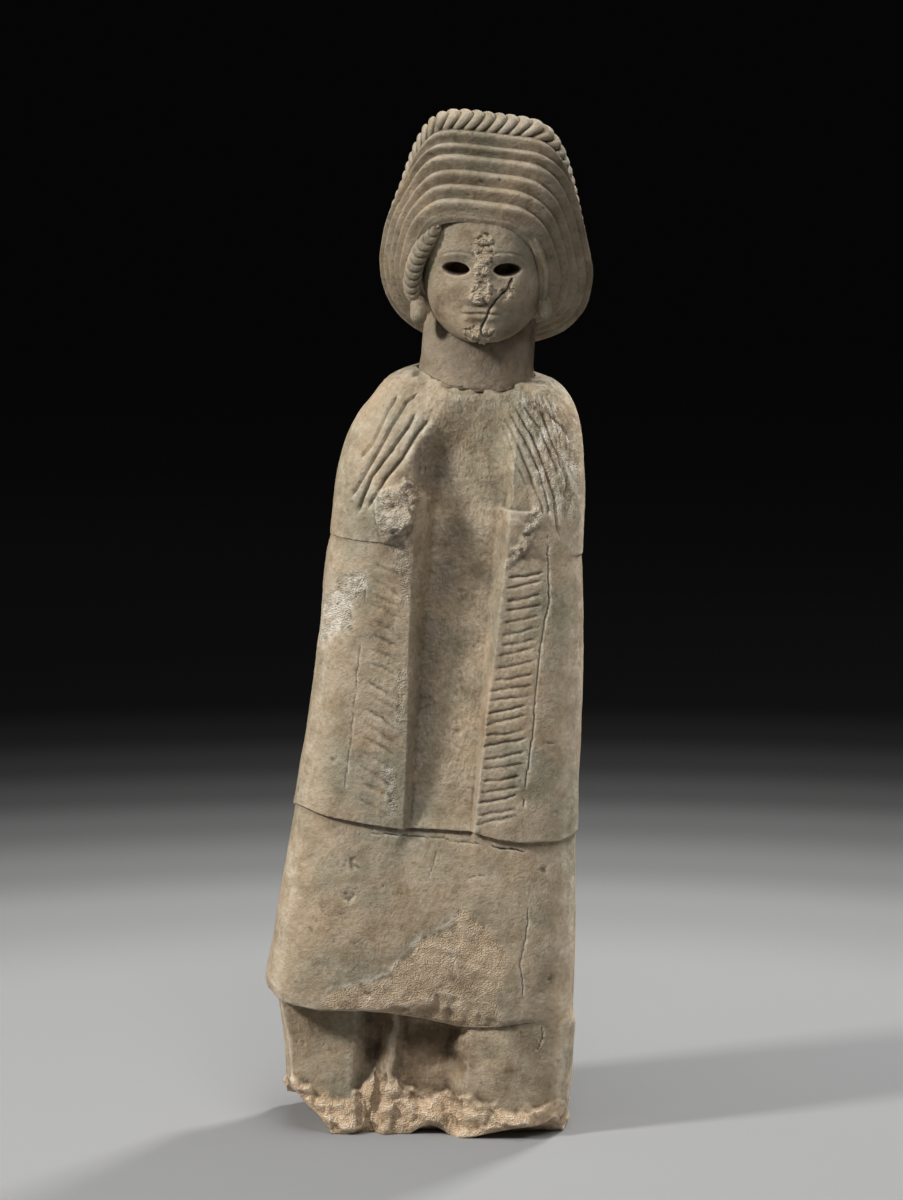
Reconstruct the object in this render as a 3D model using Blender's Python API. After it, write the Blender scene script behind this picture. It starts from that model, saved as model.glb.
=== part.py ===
# Stone figure of a standing woman in a long cloak, with a turban and a plait ring.
# Metres, +Z up, front towards -Y. The origin is on the broken underside that it stands on.
# The figure is carved along an axis of its own, which leans sideways on the broken underside.
# Everything is shaped in the frame of that axis and then leaned over it.

import math

import bmesh
import bpy
import numpy as np

# Overall sizes
LEAN = math.radians(4.37)  # of the figure's axis, towards +X going up
AXIS_LEFT = 0.0217  # where the axis meets the underside, from the origin
BREAK_GAP = 0.0003  # between the head and the body, along the broken neck

# Levels of the body, up its axis
HEM_Z = 0.0925  # lower edge of the skirt
CLOAK_Z = 0.2305  # lower edge of the cloak
CAPE_Z = 0.4340  # lower edge of the sleeves
NECK_Z = 0.5600  # break at the sides of the neck

# Half widths and depths of the body
HEM_WIDTH = 0.1125
HEM_DEPTH = 0.0745
CLOAK_WIDTH = 0.1050
CLOAK_DEPTH = 0.0710
SHOULDER_WIDTH = 0.0905
SHOULDER_DEPTH = 0.0600
NECK_WIDTH = 0.0430
NECK_DEPTH = 0.0370
NECK_SIDE = 0.0050  # the neck sits a little to the right of the axis
NECK_BURIED = 0.0360  # of the neck's column, inside the head above the chin
NECK_SLOPE = 0.0115  # fall of the broken neck from its sides to its front
NECK_DISH = 0.0030
LEG_LEFT = 0.0990
LEG_RIGHT = 0.1150
LEG_DEPTH = 0.0700

# Feet block under the hem: distance from the axis, and how far the front stands back there
LEG_FRONT = (
    (-0.045, 0.0235),
    (-0.038, 0.0340),
    (-0.026, 0.0340),
    (-0.021, 0.0160),
    (-0.014, 0.0235),
    (0.026, 0.0220),
    (0.034, 0.0060),
    (0.060, 0.0015),
    (0.103, 0.0000),
)

# Broken underside: the left front corner is lost, and the right front edge is worn off
LOST_CORNER = 0.078  # where the lost corner starts, left of the middle
LOST_REACH = 0.037
LOST_RISE = 0.021
LOST_FRONT_RISE = 0.025  # more than at the back
WORN_RISE = 0.0175
WORN_FRONT = 0.036

# Carving on the front of the cloak
CHANNEL_DEPTH = 0.0230  # of the channel between the two lappets, at the hands
LAPPET_LEFT = 0.0280  # inner edge of the left lappet from the axis
LAPPET_RIGHT = 0.0320
CHANNEL_LEFT = 0.0170  # foot of the lappet's inner wall
CHANNEL_RIGHT = 0.0255
LAPPET_SIDE = 0.0625  # outer edge of both lappets
HAND_Z = 0.4570  # middle of the broken hands
HAND_SIDE = 0.0470
HAND_PROUD = 0.0090
FRINGE_PITCH = 0.0085
FRINGE_DEPTH = 0.0016
FRINGE_WIDTH = 0.0034
FRINGE_SLOPE = math.radians(17)
FOLD_WIDTH = 0.0030
FOLD_DEPTH = 0.0017

# Head, shaped upright and facing forwards before it is turned and rolled on the neck
CHIN_RISE = 0.0240  # of the chin above the break
HEAD_SIDE = 0.0085
HEAD_TURN = math.radians(3)
HEAD_ROLL = math.radians(3)
FACE_HEIGHT = 0.0895  # chin to hairline
FACE_WIDTH = 0.0450  # half
FACE_FRONT = 0.0670  # in front of the axis
FACE_MIDDLE = 0.0200  # the widest line of the face, in front of the axis
FACE_BACK = 0.0300  # from that line
EYE_SIDE = 0.0190  # from the middle of the face
EYE_WIDTH = 0.0190
EYE_HEIGHT = 0.0090
EYE_DEPTH = 0.0120  # half depth of the cutter
EYE_SINK = 0.0075  # its middle, behind the front of the face
HAIR_SIZE = 0.0085
HAIR_RIGHT = 0.2  # share of that at the right of the face, which has no lock
HAIR_TUCK = 0.0120  # of the turban's foot behind the hair
TURBAN_RISE = 0.0603  # hairline to plait
TURBAN_WIDTH = 0.0745  # half, at its widest ring
TURBAN_DROP = 0.0335  # of its widest level, below the hairline
TURBAN_FRONT = 0.0700
TURBAN_TAPER = 0.0240  # narrowing of the last ring towards its top
HAIR_TAPER = 0.0100  # the same of the first ring
NAPE_DROP = 0.0050  # lowest point of the last ring below the chin
HAIR_RISE = 0.0210  # of the first ring above that
TURBAN_SLOPE = 1.43  # fall of a band for its run backwards
TURBAN_SIDES = 52
BANDS = 6
BAND_STEP = 0.0022
BAND_SKEW = 0.090  # fall of the bands towards the right
PLAIT_SIZE = 0.0190
PLAIT_PITCH = 0.0080
PLAIT_NOTCH = 0.0026
BACK_DOME = 0.0400

CHIN_Z = NECK_Z + CHIN_RISE
HAIRLINE_Z = CHIN_Z + FACE_HEIGHT
TURBAN_TOP = HAIRLINE_Z + TURBAN_RISE
TURBAN_WAIST = HAIRLINE_Z - TURBAN_DROP
CORNER = 0.90  # where the corners of the body start, as a share of its half width


def smooth(a, b, x):
    """Soft step from 0 at a to 1 at b."""
    t = np.clip((x - a) / (b - a), 0.0, 1.0)
    return t * t * (3.0 - 2.0 * t)


def bump(centre, reach, x):
    """Soft hill of height 1 that ends at reach either side of centre."""
    return 1.0 - smooth(0.0, reach, np.abs(x - centre))


def curve_through(stations, z):
    """Each column of stations at heights z, on a smooth curve that never overshoots them."""
    stations = np.array(stations, float)
    x, y = stations[:, 0], stations[:, 1:]
    step = np.diff(x)[:, None]
    slope = np.diff(y, axis=0) / step
    middle = np.where(
        slope[:-1] * slope[1:] > 0,
        2 * slope[:-1] * slope[1:] / np.where(slope[:-1] + slope[1:] == 0, 1, slope[:-1] + slope[1:]),
        0.0,
    )
    tangent = np.vstack([slope[:1], middle, slope[-1:]])
    z = np.clip(z, x[0], x[-1])
    i = np.clip(np.searchsorted(x, z, side="right") - 1, 0, len(x) - 2)
    h = step[i]
    t = ((z - x[i])[:, None]) / h
    return (
        (2 * t**3 - 3 * t**2 + 1) * y[i]
        + (t**3 - 2 * t**2 + t) * h * tangent[i]
        + (3 * t**2 - 2 * t**3) * y[i + 1]
        + (t**3 - t**2) * h * tangent[i + 1]
    )


def lean(x, y, z):
    """World places of points given in the frame of the figure's axis."""
    return np.stack(
        [
            x * math.cos(LEAN) + z * math.sin(LEAN) - AXIS_LEFT,
            y,
            z * math.cos(LEAN) - x * math.sin(LEAN),
        ],
        axis=-1,
    )


def neck_break(x, y):
    """Height of the broken neck: lower in front, dished, and uneven."""
    out = ((x - NECK_SIDE) / NECK_WIDTH) ** 2 + (y / NECK_DEPTH) ** 2
    tilt = NECK_SLOPE * y / NECK_DEPTH - NECK_DISH
    uneven = 0.0009 * np.sin(190 * x + 1.3) * np.cos(160 * y) + 0.0006 * np.sin(420 * x - 260 * y)
    return NECK_Z + tilt - NECK_DISH * (1.0 - np.clip(out, 0.0, 1.0)) + uneven


# The body's section, block by block: height, half width left and right, depth in front and behind,
# squareness of the corners, centre from the axis, sideways roll, drop in front, rise behind
def leg_stations():
    return [
        (0.000, LEG_LEFT - 0.004, LEG_RIGHT - 0.002, LEG_DEPTH, LEG_DEPTH - 0.003, 5.0, 0, 0, 0, 0),
        (0.040, LEG_LEFT - 0.001, LEG_RIGHT, LEG_DEPTH, LEG_DEPTH - 0.002, 5.0, 0, 0, 0, 0),
        (HEM_Z, LEG_LEFT + 0.0070, LEG_RIGHT - 0.001, LEG_DEPTH, LEG_DEPTH - 0.001, 5.0, 0, 0, 0, 0),
    ]


def skirt_stations():
    w, d, top = HEM_WIDTH, HEM_DEPTH, CLOAK_WIDTH
    tall = CLOAK_Z - HEM_Z
    return [
        (HEM_Z, w + 0.001, w - 0.001, d - 0.001, d - 0.003, 4.6, 0, 0, 0, 0),
        (HEM_Z + 0.07 * tall, w + 0.0035, w - 0.001, d, d - 0.002, 4.6, 0, 0, 0, 0),
        (HEM_Z + 0.25 * tall, w + 0.001, w - 0.0015, d + 0.0005, d - 0.0025, 4.6, 0, 0, 0, 0),
        (HEM_Z + 0.58 * tall, w - 0.003, w - 0.0045, d - 0.001, d - 0.0035, 4.5, 0, 0, 0, 0),
        (CLOAK_Z, top - 0.0015, top - 0.002, CLOAK_DEPTH - 0.0045, CLOAK_DEPTH - 0.001, 4.4, 0, 0, 0, 0),
    ]


def cloak_stations():
    w, d = CLOAK_WIDTH, CLOAK_DEPTH
    tall = CAPE_Z - CLOAK_Z
    return [
        (CLOAK_Z, w, w, d, d, 4.4, 0, 0, 0, 0),
        (CLOAK_Z + 0.146 * tall, w - 0.0025, w - 0.0015, d - 0.001, d - 0.001, 4.3, 0, 0, 0, 0),
        (CLOAK_Z + 0.355 * tall, w - 0.0065, w - 0.0030, d - 0.0025, d - 0.003, 4.2, 0, 0, 0, 0),
        (CLOAK_Z + 0.706 * tall, w - 0.0092, w - 0.0070, d - 0.005, d - 0.006, 4.0, 0, 0, 0, 0),
        (CLOAK_Z + 0.925 * tall, w - 0.0103, w - 0.0112, d - 0.007, d - 0.0085, 3.8, 0, 0, 0, 0),
        (CAPE_Z, w - 0.0128, w - 0.0130, d - 0.0075, d - 0.009, 3.7, 0, 0, 0, 0),
    ]


def cape_stations():
    w, d, neck = SHOULDER_WIDTH, SHOULDER_DEPTH, NECK_WIDTH
    z, tall = CAPE_Z, NECK_Z - CAPE_Z
    return [
        (z, w + 0.0025, w + 0.0025, d + 0.0045, d + 0.0035, 3.7, 0, 0, 0, 0),
        (z + 0.270 * tall, w + 0.0015, w + 0.0010, d + 0.0030, d + 0.0020, 3.5, 0, 0.01, 0, 0),
        (z + 0.500 * tall, w - 0.0020, w - 0.0020, d - 0.0020, d - 0.0020, 3.2, 0, 0.03, 0, 0),
        (z + 0.619 * tall, w - 0.0055, w - 0.0045, d - 0.0055, d - 0.0050, 2.9, 0, 0.05, 0.001, 0.0005),
        (z + 0.738 * tall, w - 0.0110, w - 0.0085, d - 0.0100, d - 0.0080, 2.6, 0, 0.07, 0.003, 0.001),
        (z + 0.849 * tall, w - 0.0190, w - 0.0170, d - 0.0150, d - 0.0115, 2.4, 0.001, 0.08, 0.006, 0.003),
        (z + 0.940 * tall, w - 0.0275, w - 0.0280, d - 0.0190, d - 0.0150, 2.2, 0.002, 0.065, 0.009, 0.005),
        (z + 0.984 * tall, w - 0.036, w - 0.040, d - 0.0215, d - 0.019, 2.1, 0.004, 0.03, NECK_SLOPE, 0.007),
        (NECK_Z, neck, neck, NECK_DEPTH, NECK_DEPTH, 2.0, NECK_SIDE, 0, NECK_SLOPE, NECK_SLOPE),
    ]


def front_lines(z, left, right):
    """Where the eight lines that the carving follows down the front cross each height.

    From the left: corner, lappet, wall top, wall foot, wall foot, wall top, lappet, corner."""
    skirt = smooth(CLOAK_Z, CLOAK_Z - 0.03, z)
    chest = smooth(HAND_Z + 0.005, HAND_Z + 0.050, z)
    throat = smooth(NECK_Z - 0.035, NECK_Z, z)
    down = smooth(HAND_Z, CLOAK_Z, z)

    def line(lappet, low, high, top):
        x = lappet + (low - lappet) * skirt
        x = x + (high - x) * chest
        return x + (top - x) * throat

    w, s = CLOAK_WIDTH, SHOULDER_WIDTH
    return np.stack(
        [
            -CORNER * left,
            line(-LAPPET_SIDE, -0.673 * w, -0.689 * s, -0.70 * left),
            line(-LAPPET_LEFT - 0.005 + 0.0085 * down, -0.385 * w, -0.478 * s, -0.42 * left),
            line(-CHANNEL_LEFT, -0.202 * w, -0.122 * s, -0.16 * left),
            line(CHANNEL_RIGHT, 0.212 * w, 0.178 * s, 0.16 * right),
            line(LAPPET_RIGHT + 0.005 - 0.008 * down, 0.346 * w, 0.411 * s, 0.42 * right),
            line(LAPPET_SIDE + 0.004 - 0.004 * down, 0.673 * w, 0.733 * s, 0.70 * right),
            CORNER * right,
        ],
        axis=1,
    )


def channel_depth(z):
    """Depth of the hollow between the arms and the lappets."""
    d, skirt, cloak, chest = CHANNEL_DEPTH, CLOAK_Z - HEM_Z, HAND_Z - CLOAK_Z, NECK_Z - HAND_Z
    return curve_through(
        [
            (HEM_Z + 0.365 * skirt, 0.0),
            (HEM_Z + 0.970 * skirt, 0.15 * d),
            (CLOAK_Z + 0.052 * cloak, 0.40 * d),
            (CLOAK_Z + 0.350 * cloak, 0.74 * d),
            (CLOAK_Z + 0.744 * cloak, 1.00 * d),
            (HAND_Z, 1.00 * d),
            (HAND_Z + 0.390 * chest, 0.62 * d),
            (HAND_Z + 0.660 * chest, 0.22 * d),
            (HAND_Z + 0.883 * chest, 0.0),
        ],
        z,
    )[:, 0]


def leg_hollow(x, z):
    """How far the front of the feet block stands back, with the slot between the feet."""
    across = np.interp(x, *np.array(LEG_FRONT).T)
    return across * (0.75 + 0.25 * smooth(0.01, HEM_Z - 0.02, z))


def carve(x, z, lines):
    """Depth of the carving behind the front of the block at each point."""
    left_wall = smooth(0.0, 1.0, (x - lines[:, 2:3]) / (lines[:, 3:4] - lines[:, 2:3]))
    right_wall = smooth(0.0, 1.0, (lines[:, 5:6] - x) / (lines[:, 5:6] - lines[:, 4:5]))
    depth = channel_depth(z[:, 0])[:, None] * left_wall * right_wall
    stump = HAND_PROUD * bump(-HAND_SIDE, 0.022, x) * bump(HAND_Z, 0.026, z)
    wrist = 0.35 * HAND_PROUD * bump(HAND_SIDE - 0.005, 0.020, x) * bump(HAND_Z - 0.004, 0.016, z)
    return depth - stump - wrist


def body_rows(blocks, counts):
    """Sections of every block, one below the next, with both edges of each block kept."""
    rows = []
    for stations, count in zip(blocks, counts):
        bottom, top = stations[0][0], stations[-1][0]
        share = np.linspace(0, 1, count)
        if top > CAPE_Z:
            share = 1 - (1 - share) ** 1.7
        z = bottom + (top - bottom) * share
        rows.append(np.column_stack([z, curve_through(stations, z)]))
    rows = np.vstack(rows)
    same = np.flatnonzero(np.diff(rows[:, 0]) <= 0)
    rows[same, 0] -= 0.0006
    rows[same + 1, 0] += 0.0006
    return rows


def ring_of(rows, front_counts, side_count, back_count):
    """The surface of the body as rows of points, counterclockwise from the left front corner."""
    z, left, right, front, back, square, centre, roll, drop, rise = (rows[:, [i]] for i in range(10))
    lines = front_lines(rows[:, 0], rows[:, 1], rows[:, 2])
    xs = [lines[:, [0]]]
    for i, count in enumerate(front_counts):
        share = np.linspace(0, 1, count + 1)[1:]
        xs.append(lines[:, [i]] + (lines[:, [i + 1]] - lines[:, [i]]) * share)
    x_front = np.hstack(xs)
    half = np.where(x_front < 0, left, right)
    y_front = -front * (1 - np.abs(x_front / half) ** square) ** (1 / square)
    y_front = y_front + carve(x_front, z, lines)
    edge = (1 - CORNER**square) ** (1 / square)
    share = np.linspace(-1, 1, side_count + 2)[1:-1]
    y_side = np.where(share < 0, edge * front, edge * back) * share
    depth = np.where(share < 0, front, back)
    x_side = (1 - np.abs(y_side / depth) ** square) ** (1 / square)
    x_back = np.linspace(CORNER, -CORNER, back_count)[None, :] * np.where(
        np.linspace(CORNER, -CORNER, back_count)[None, :] < 0, left, right
    )
    half_back = np.where(x_back < 0, left, right)
    y_back = back * (1 - np.abs(x_back / half_back) ** square) ** (1 / square)
    x = np.hstack([x_front, x_side * right, x_back, -(x_side * left)[:, ::-1]])
    y = np.hstack([y_front, y_side, y_back, y_side[:, ::-1]])
    y = np.where(z < HEM_Z, np.maximum(y, leg_hollow(x, z) - front), y)
    depth = np.where(y < 0, front, back)
    lift = np.where(y < 0, -drop, rise) * np.minimum((y / depth) ** 2, 1)
    return x + centre, y, z + roll * x + lift


def grid_faces(bm, x, y, z, caps=True):
    """Closes rows of points into a skin, each row a ring, with a flat cap at both ends."""
    rings = [[bm.verts.new(p) for p in row] for row in np.stack([x, y, z], axis=-1)]
    count = len(rings[0])
    for low, high in zip(rings[:-1], rings[1:]):
        for j in range(count):
            k = (j + 1) % count
            bm.faces.new((low[j], low[k], high[k], high[j]))
    if caps:
        bm.faces.new(rings[0][::-1])
        bm.faces.new(rings[-1])
    return rings


def cap_with_rings(bm, ring, height):
    """Covers the ring of the neck with smaller rings on the surface given by height, and a last fan."""
    centre = np.array([NECK_SIDE, 0.0])
    outer = np.array([v.co for v in ring])
    last = ring
    for share in (0.66, 0.33):
        xy = centre + (outer[:, :2] - centre) * share
        z = height(xy[:, 0], xy[:, 1])
        inner = [bm.verts.new((a, b, c)) for (a, b), c in zip(xy, z)]
        for j in range(len(ring)):
            k = (j + 1) % len(ring)
            bm.faces.new((last[j], last[k], inner[k], inner[j]))
        last = inner
    top = bm.verts.new((*centre, float(height(*centre))))
    for j in range(len(ring)):
        bm.faces.new((last[j], last[(j + 1) % len(ring)], top))


def mesh_object(name, bm, collection):
    mesh = bpy.data.meshes.new(name)
    bmesh.ops.recalc_face_normals(bm, faces=bm.faces)
    bm.to_mesh(mesh)
    bm.free()
    made = bpy.data.objects.new(name, mesh)
    collection.objects.link(made)
    return made


def lean_mesh(made):
    """Leans a piece over the figure's axis."""
    points = np.array([v.co for v in made.data.vertices])
    placed = lean(*points.T)
    made.data.vertices.foreach_set("co", placed.astype(np.float32).ravel())
    made.data.update()


def body_points():
    """Rows of points of the whole body. The last row is the outline of the broken neck."""
    blocks = [leg_stations(), skirt_stations(), cloak_stations(), cape_stations()]
    rows = body_rows(blocks, [6, 7, 11, 18])
    return ring_of(rows, [3, 3, 2, 3, 2, 3, 3], 3, 7)


def make_body(collection):
    x, y, z = body_points()
    z[-1] = neck_break(x[-1], y[-1]) - BREAK_GAP / 2
    bm = bmesh.new()
    rings = grid_faces(bm, x, y, z, caps=False)
    bm.faces.new(rings[0][::-1])
    cap_with_rings(bm, rings[-1], lambda a, b: neck_break(a, b) - BREAK_GAP / 2)
    body = mesh_object("body", bm, collection)
    lean_mesh(body)
    points = np.array([v.co for v in body.data.vertices])
    on_floor = np.arange(x.shape[1])
    points[on_floor, 2] = 0.0
    body.data.vertices.foreach_set("co", points.astype(np.float32).ravel())
    return body


def turned(a, b, angle):
    """Both coordinates of a point after a turn in their plane."""
    return a * math.cos(angle) - b * math.sin(angle), b * math.cos(angle) + a * math.sin(angle)


def place_head(points):
    """Rolls and turns points of the head on the neck, and leans them with the figure."""
    x, y, z = points.T
    x, z = turned(x, z - CHIN_Z, HEAD_ROLL)
    x, y = turned(x, y, -HEAD_TURN)
    return lean(x + HEAD_SIDE, y, z + CHIN_Z)


def superellipse(angle, square):
    """Sine and cosine of an angle, squared up by the exponent."""
    sine, cosine = np.sin(angle), np.cos(angle)
    return np.sign(sine) * np.abs(sine) ** (2 / square), np.sign(cosine) * np.abs(cosine) ** (2 / square)


def turban_ring(share, angle):
    """Ring of the turban from the hairline (0) to the plait (1), with its outward directions.

    The angle runs from the top of the forehead. Each ring lies in a plane that falls backwards."""
    hair = FACE_WIDTH + HAIR_SIZE * np.where(np.sin(angle) > 0, HAIR_RIGHT, 1.0)
    top = HAIRLINE_Z + TURBAN_RISE * share
    width = hair + (TURBAN_WIDTH - hair) * np.minimum(share * 1.25, 1) ** 0.9
    waist = TURBAN_WAIST - 0.133 * TURBAN_RISE * (1 - share)
    bottom = CHIN_Z - NAPE_DROP + HAIR_RISE * (1 - share)
    corner = np.where(np.sin(angle) > 0, 4.0 + 4.0 * share, 4.0 + 0.3 * share)
    across, up = superellipse(angle, np.where(np.cos(angle) > 0, corner, 2.6))
    z = waist + np.where(up > 0, top - waist, waist - bottom) * up
    taper = HAIR_TAPER + (TURBAN_TAPER - HAIR_TAPER) * share
    x = (width - taper * np.maximum(up, 0) ** 1.2) * across
    y = TURBAN_FRONT * (0.057 * share - 1) + (top - z) / TURBAN_SLOPE
    z = z - BAND_SKEW * x * (0.5 + 0.5 * np.cos(angle))
    out = np.stack([np.sin(angle), -np.maximum(np.cos(angle), 0), np.minimum(np.cos(angle), 0)], axis=-1)
    return np.stack([x, y, z], axis=-1), out


def plait_frame(angle):
    """Middle line of the plait ring, its outward directions, and the way the turban is stacked."""
    ring = turban_ring(1.0, angle)[0]
    stack = np.array([0.0, 1.0, 1 / TURBAN_SLOPE]) / math.hypot(1.0, 1 / TURBAN_SLOPE)
    uphill = np.array([0.0, -1 / TURBAN_SLOPE, 1.0]) / math.hypot(1.0, 1 / TURBAN_SLOPE)
    out = np.outer(np.sin(angle), [1.0, 0.0, 0.0]) + np.outer(np.cos(angle), uphill)
    ring[:, 0] *= 1 - PLAIT_SIZE / 2 / TURBAN_WIDTH
    ring += np.outer(np.maximum(-np.cos(angle), 0), uphill) * PLAIT_SIZE * 0.35
    return ring + stack * PLAIT_SIZE * 0.45, out, stack


def make_turban(collection):
    angle = np.linspace(0, 2 * math.pi, TURBAN_SIDES, endpoint=False)
    core, flat, stack = plait_frame(angle)
    first, out = turban_ring(0.0, angle)
    middle = first.mean(axis=0)
    lock = HAIR_SIZE * smooth(0.35, 0.75, (1 - np.cos(angle)) / 2)[:, None]
    rows = [
        middle + (first - middle) * 0.76 + stack * HAIR_TUCK,
        middle + (first - middle) * 0.84 - stack * lock * 0.55,
        middle + (first - middle) * 0.93 - stack * lock * 0.45,
        first - out * BAND_STEP * 0.68,
    ]
    for band in range(BANDS):
        for share, proud in ((0.03, 0.0), (0.97, BAND_STEP)):
            ring, out = turban_ring((band + share) / BANDS, angle)
            rows.append(ring + out * proud)
    rows.append(core + flat * PLAIT_SIZE * 0.15)
    centre = core.mean(axis=0)
    for share, dome in ((0.90, 0.40), (0.66, 0.78), (0.33, 0.97)):
        rows.append(centre + (core - centre) * share + stack * (PLAIT_SIZE / 4 + BACK_DOME * dome))
    points = np.array([place_head(row) for row in rows])
    bm = bmesh.new()
    grid_faces(bm, *np.moveaxis(points, -1, 0))
    return mesh_object("turban_form", bm, collection)


def make_plait(collection):
    """The plait as a ring of oblique strands, each parted from the next by a notch."""
    fine = np.linspace(0, 2 * math.pi, 721)
    line = plait_frame(fine)[0]
    run = np.concatenate([[0], np.cumsum(np.linalg.norm(np.diff(line, axis=0), axis=1))])
    strands = round(run[-1] / PLAIT_PITCH)
    turns = np.linspace(0, 2 * math.pi, 9)[:-1]
    bm = bmesh.new()
    rows = []
    for turn in turns:
        shear = 1.1 * math.sin(turn)
        at = (np.arange(2 * strands) / 2 - shear) / strands % 1.0 * run[-1]
        core, flat, stack = plait_frame(np.interp(at, run, fine))
        radius = PLAIT_SIZE / 2 - np.where(np.arange(2 * strands) % 2 == 1, PLAIT_NOTCH, 0)[:, None]
        rows.append(place_head(core + radius * (math.cos(turn) * flat + math.sin(turn) * stack)))
    verts = [[bm.verts.new(p) for p in row] for row in rows]
    for row, after in zip(verts, verts[1:] + verts[:1]):
        for j in range(len(row)):
            k = (j + 1) % len(row)
            bm.faces.new((row[j], row[k], after[k], after[j]))
    return mesh_object("plait_form", bm, collection)


def face_relief(x, z):
    """How far the worn features stand proud of the rounded face."""
    def spot(cx, cz, rx, rz, height):
        return height * np.exp(-((x - cx) / rx) ** 2 - ((z - cz) / rz) ** 2)

    third = (HAIRLINE_Z - CHIN_Z) / 3
    eye = CHIN_Z + 1.72 * third
    relief = spot(0, CHIN_Z + 1.35 * third, 0.0065, 0.013, 0.0045)
    relief = relief + spot(0, CHIN_Z + 0.20 * third, 0.010, 0.006, 0.0022)
    relief = relief + spot(0, CHIN_Z + 0.66 * third, 0.013, 0.0045, 0.0018)
    for side in (-1, 1):
        relief = relief - spot(side * EYE_SIDE, eye, 0.012, 0.008, 0.0022)
        relief = relief + spot(side * 0.024, CHIN_Z + 1.05 * third, 0.012, 0.010, 0.0012)
    return relief


def make_face(collection):
    w, d = FACE_WIDTH, FACE_FRONT
    tall = HAIRLINE_Z - CHIN_Z
    stations = [
        (CHIN_Z - 0.001, 0.30 * w, 0.82 * d, 2.0),
        (CHIN_Z + 0.02 * tall, 0.45 * w, 0.90 * d, 2.1),
        (CHIN_Z + 0.10 * tall, 0.66 * w, 0.94 * d, 2.2),
        (CHIN_Z + 0.22 * tall, 0.84 * w, 0.955 * d, 2.3),
        (CHIN_Z + 0.38 * tall, 0.95 * w, 0.97 * d, 2.4),
        (CHIN_Z + 0.60 * tall, 1.00 * w, 0.985 * d, 2.5),
        (CHIN_Z + 0.85 * tall, 0.99 * w, 1.00 * d, 2.5),
        (CHIN_Z + 1.05 * tall, 0.92 * w, 0.98 * d, 2.4),
        (CHIN_Z + 1.25 * tall, 0.80 * w, 0.90 * d, 2.2),
    ]
    levels = np.concatenate([np.linspace(CHIN_Z - 0.001, HAIRLINE_Z + 0.002, 16), [stations[-1][0]]])
    angle = np.concatenate([np.linspace(-90, 90, 19), np.linspace(90, 270, 6)[1:-1]])
    rows = []
    for z, (width, front, square) in zip(levels, curve_through(stations, levels)):
        across, forward = superellipse(np.radians(angle), square)
        x = width * across
        y = -FACE_MIDDLE - forward * np.where(forward > 0, front - FACE_MIDDLE, FACE_BACK)
        y = y - np.where(forward > 0.3, face_relief(x, z), 0)
        rows.append(place_head(np.stack([x, y, np.full(len(x), z)], axis=-1)))
    points = np.array(rows)
    bm = bmesh.new()
    grid_faces(bm, *np.moveaxis(points, -1, 0))
    return mesh_object("face_form", bm, collection)


def make_neck(collection):
    x_ring, y_ring = (row[-1] for row in body_points()[:2])
    bm = bmesh.new()
    low = []
    tall = CHIN_RISE + NECK_BURIED
    for share, size in ((0, 1.0), (0.067, 0.978), (0.20, 0.960), (0.40, 0.958), (1, 0.935)):
        x, y = NECK_SIDE + (x_ring - NECK_SIDE) * size, y_ring * size
        rise = neck_break(x_ring, y_ring) + BREAK_GAP / 2 - NECK_Z
        fade = 1 - smooth(0, 0.83, share)
        low.append(np.stack([x, y, NECK_Z + tall * share + rise * fade], axis=-1))
    rings = grid_faces(bm, *np.moveaxis(np.array(low), -1, 0), caps=False)
    bm.faces.new(rings[-1])
    cap_with_rings(bm, rings[0], lambda a, b: neck_break(a, b) + BREAK_GAP / 2)
    neck = mesh_object("head", bm, collection)
    lean_mesh(neck)
    return neck


def groove(bm, points, outward, width, depth):
    """Adds a V-shaped cutter along points on a surface, pointed at both ends."""
    points, outward = np.asarray(points), np.asarray(outward)
    along = np.gradient(points, axis=0)
    side = np.cross(along, outward)
    side = side / np.linalg.norm(side, axis=1, keepdims=True)
    full = np.ones((len(points), 1))
    full[[0, -1]] = 0.25
    above = depth * 1.2
    spread = width / 2 * (1 + above / depth) * full
    rings = [
        [bm.verts.new(p + o * above - s), bm.verts.new(p + o * above + s), bm.verts.new(p - o * d)]
        for p, o, s, d in zip(points, outward, side * spread, depth * full)
    ]
    for low, high in zip(rings[:-1], rings[1:]):
        for j in range(3):
            k = (j + 1) % 3
            bm.faces.new((low[j], low[k], high[k], high[j]))
    bm.faces.new(rings[0])
    bm.faces.new(rings[-1][::-1])


def front_y(x, z):
    """Depth of the carved front of the body at places given across and up."""
    blocks = [leg_stations(), skirt_stations(), cloak_stations(), cape_stations()]
    block = blocks[int(np.searchsorted([HEM_Z, CLOAK_Z, CAPE_Z], z[0]))]
    row = curve_through(block, z)
    lines = front_lines(z, row[:, 0], row[:, 1])
    half = np.where(x < 0, row[:, 0], row[:, 1])
    y = -row[:, 2] * (1 - np.abs(x / half) ** row[:, 4]) ** (1 / row[:, 4])
    carved = carve(x[:, None], z[:, None], lines)[:, 0]
    return y + carved, row[:, 6] * x - row[:, 7] * np.minimum((y / row[:, 2]) ** 2, 1)


def front_stroke(bm, x, z, width, depth):
    """Adds a cutter for a stroke across the front of the body."""
    y, lift = front_y(x, z)
    points = np.stack([x, y, z + lift], axis=-1)
    outward = np.tile([0.0, -1.0, 0.0], (len(x), 1))
    outward[:, 0] = 0.9 * np.sign(x) * smooth(0.5, 1.0, np.abs(x) / SHOULDER_WIDTH)
    outward = outward / np.linalg.norm(outward, axis=1, keepdims=True)
    groove(bm, points, outward, width, depth)


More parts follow.
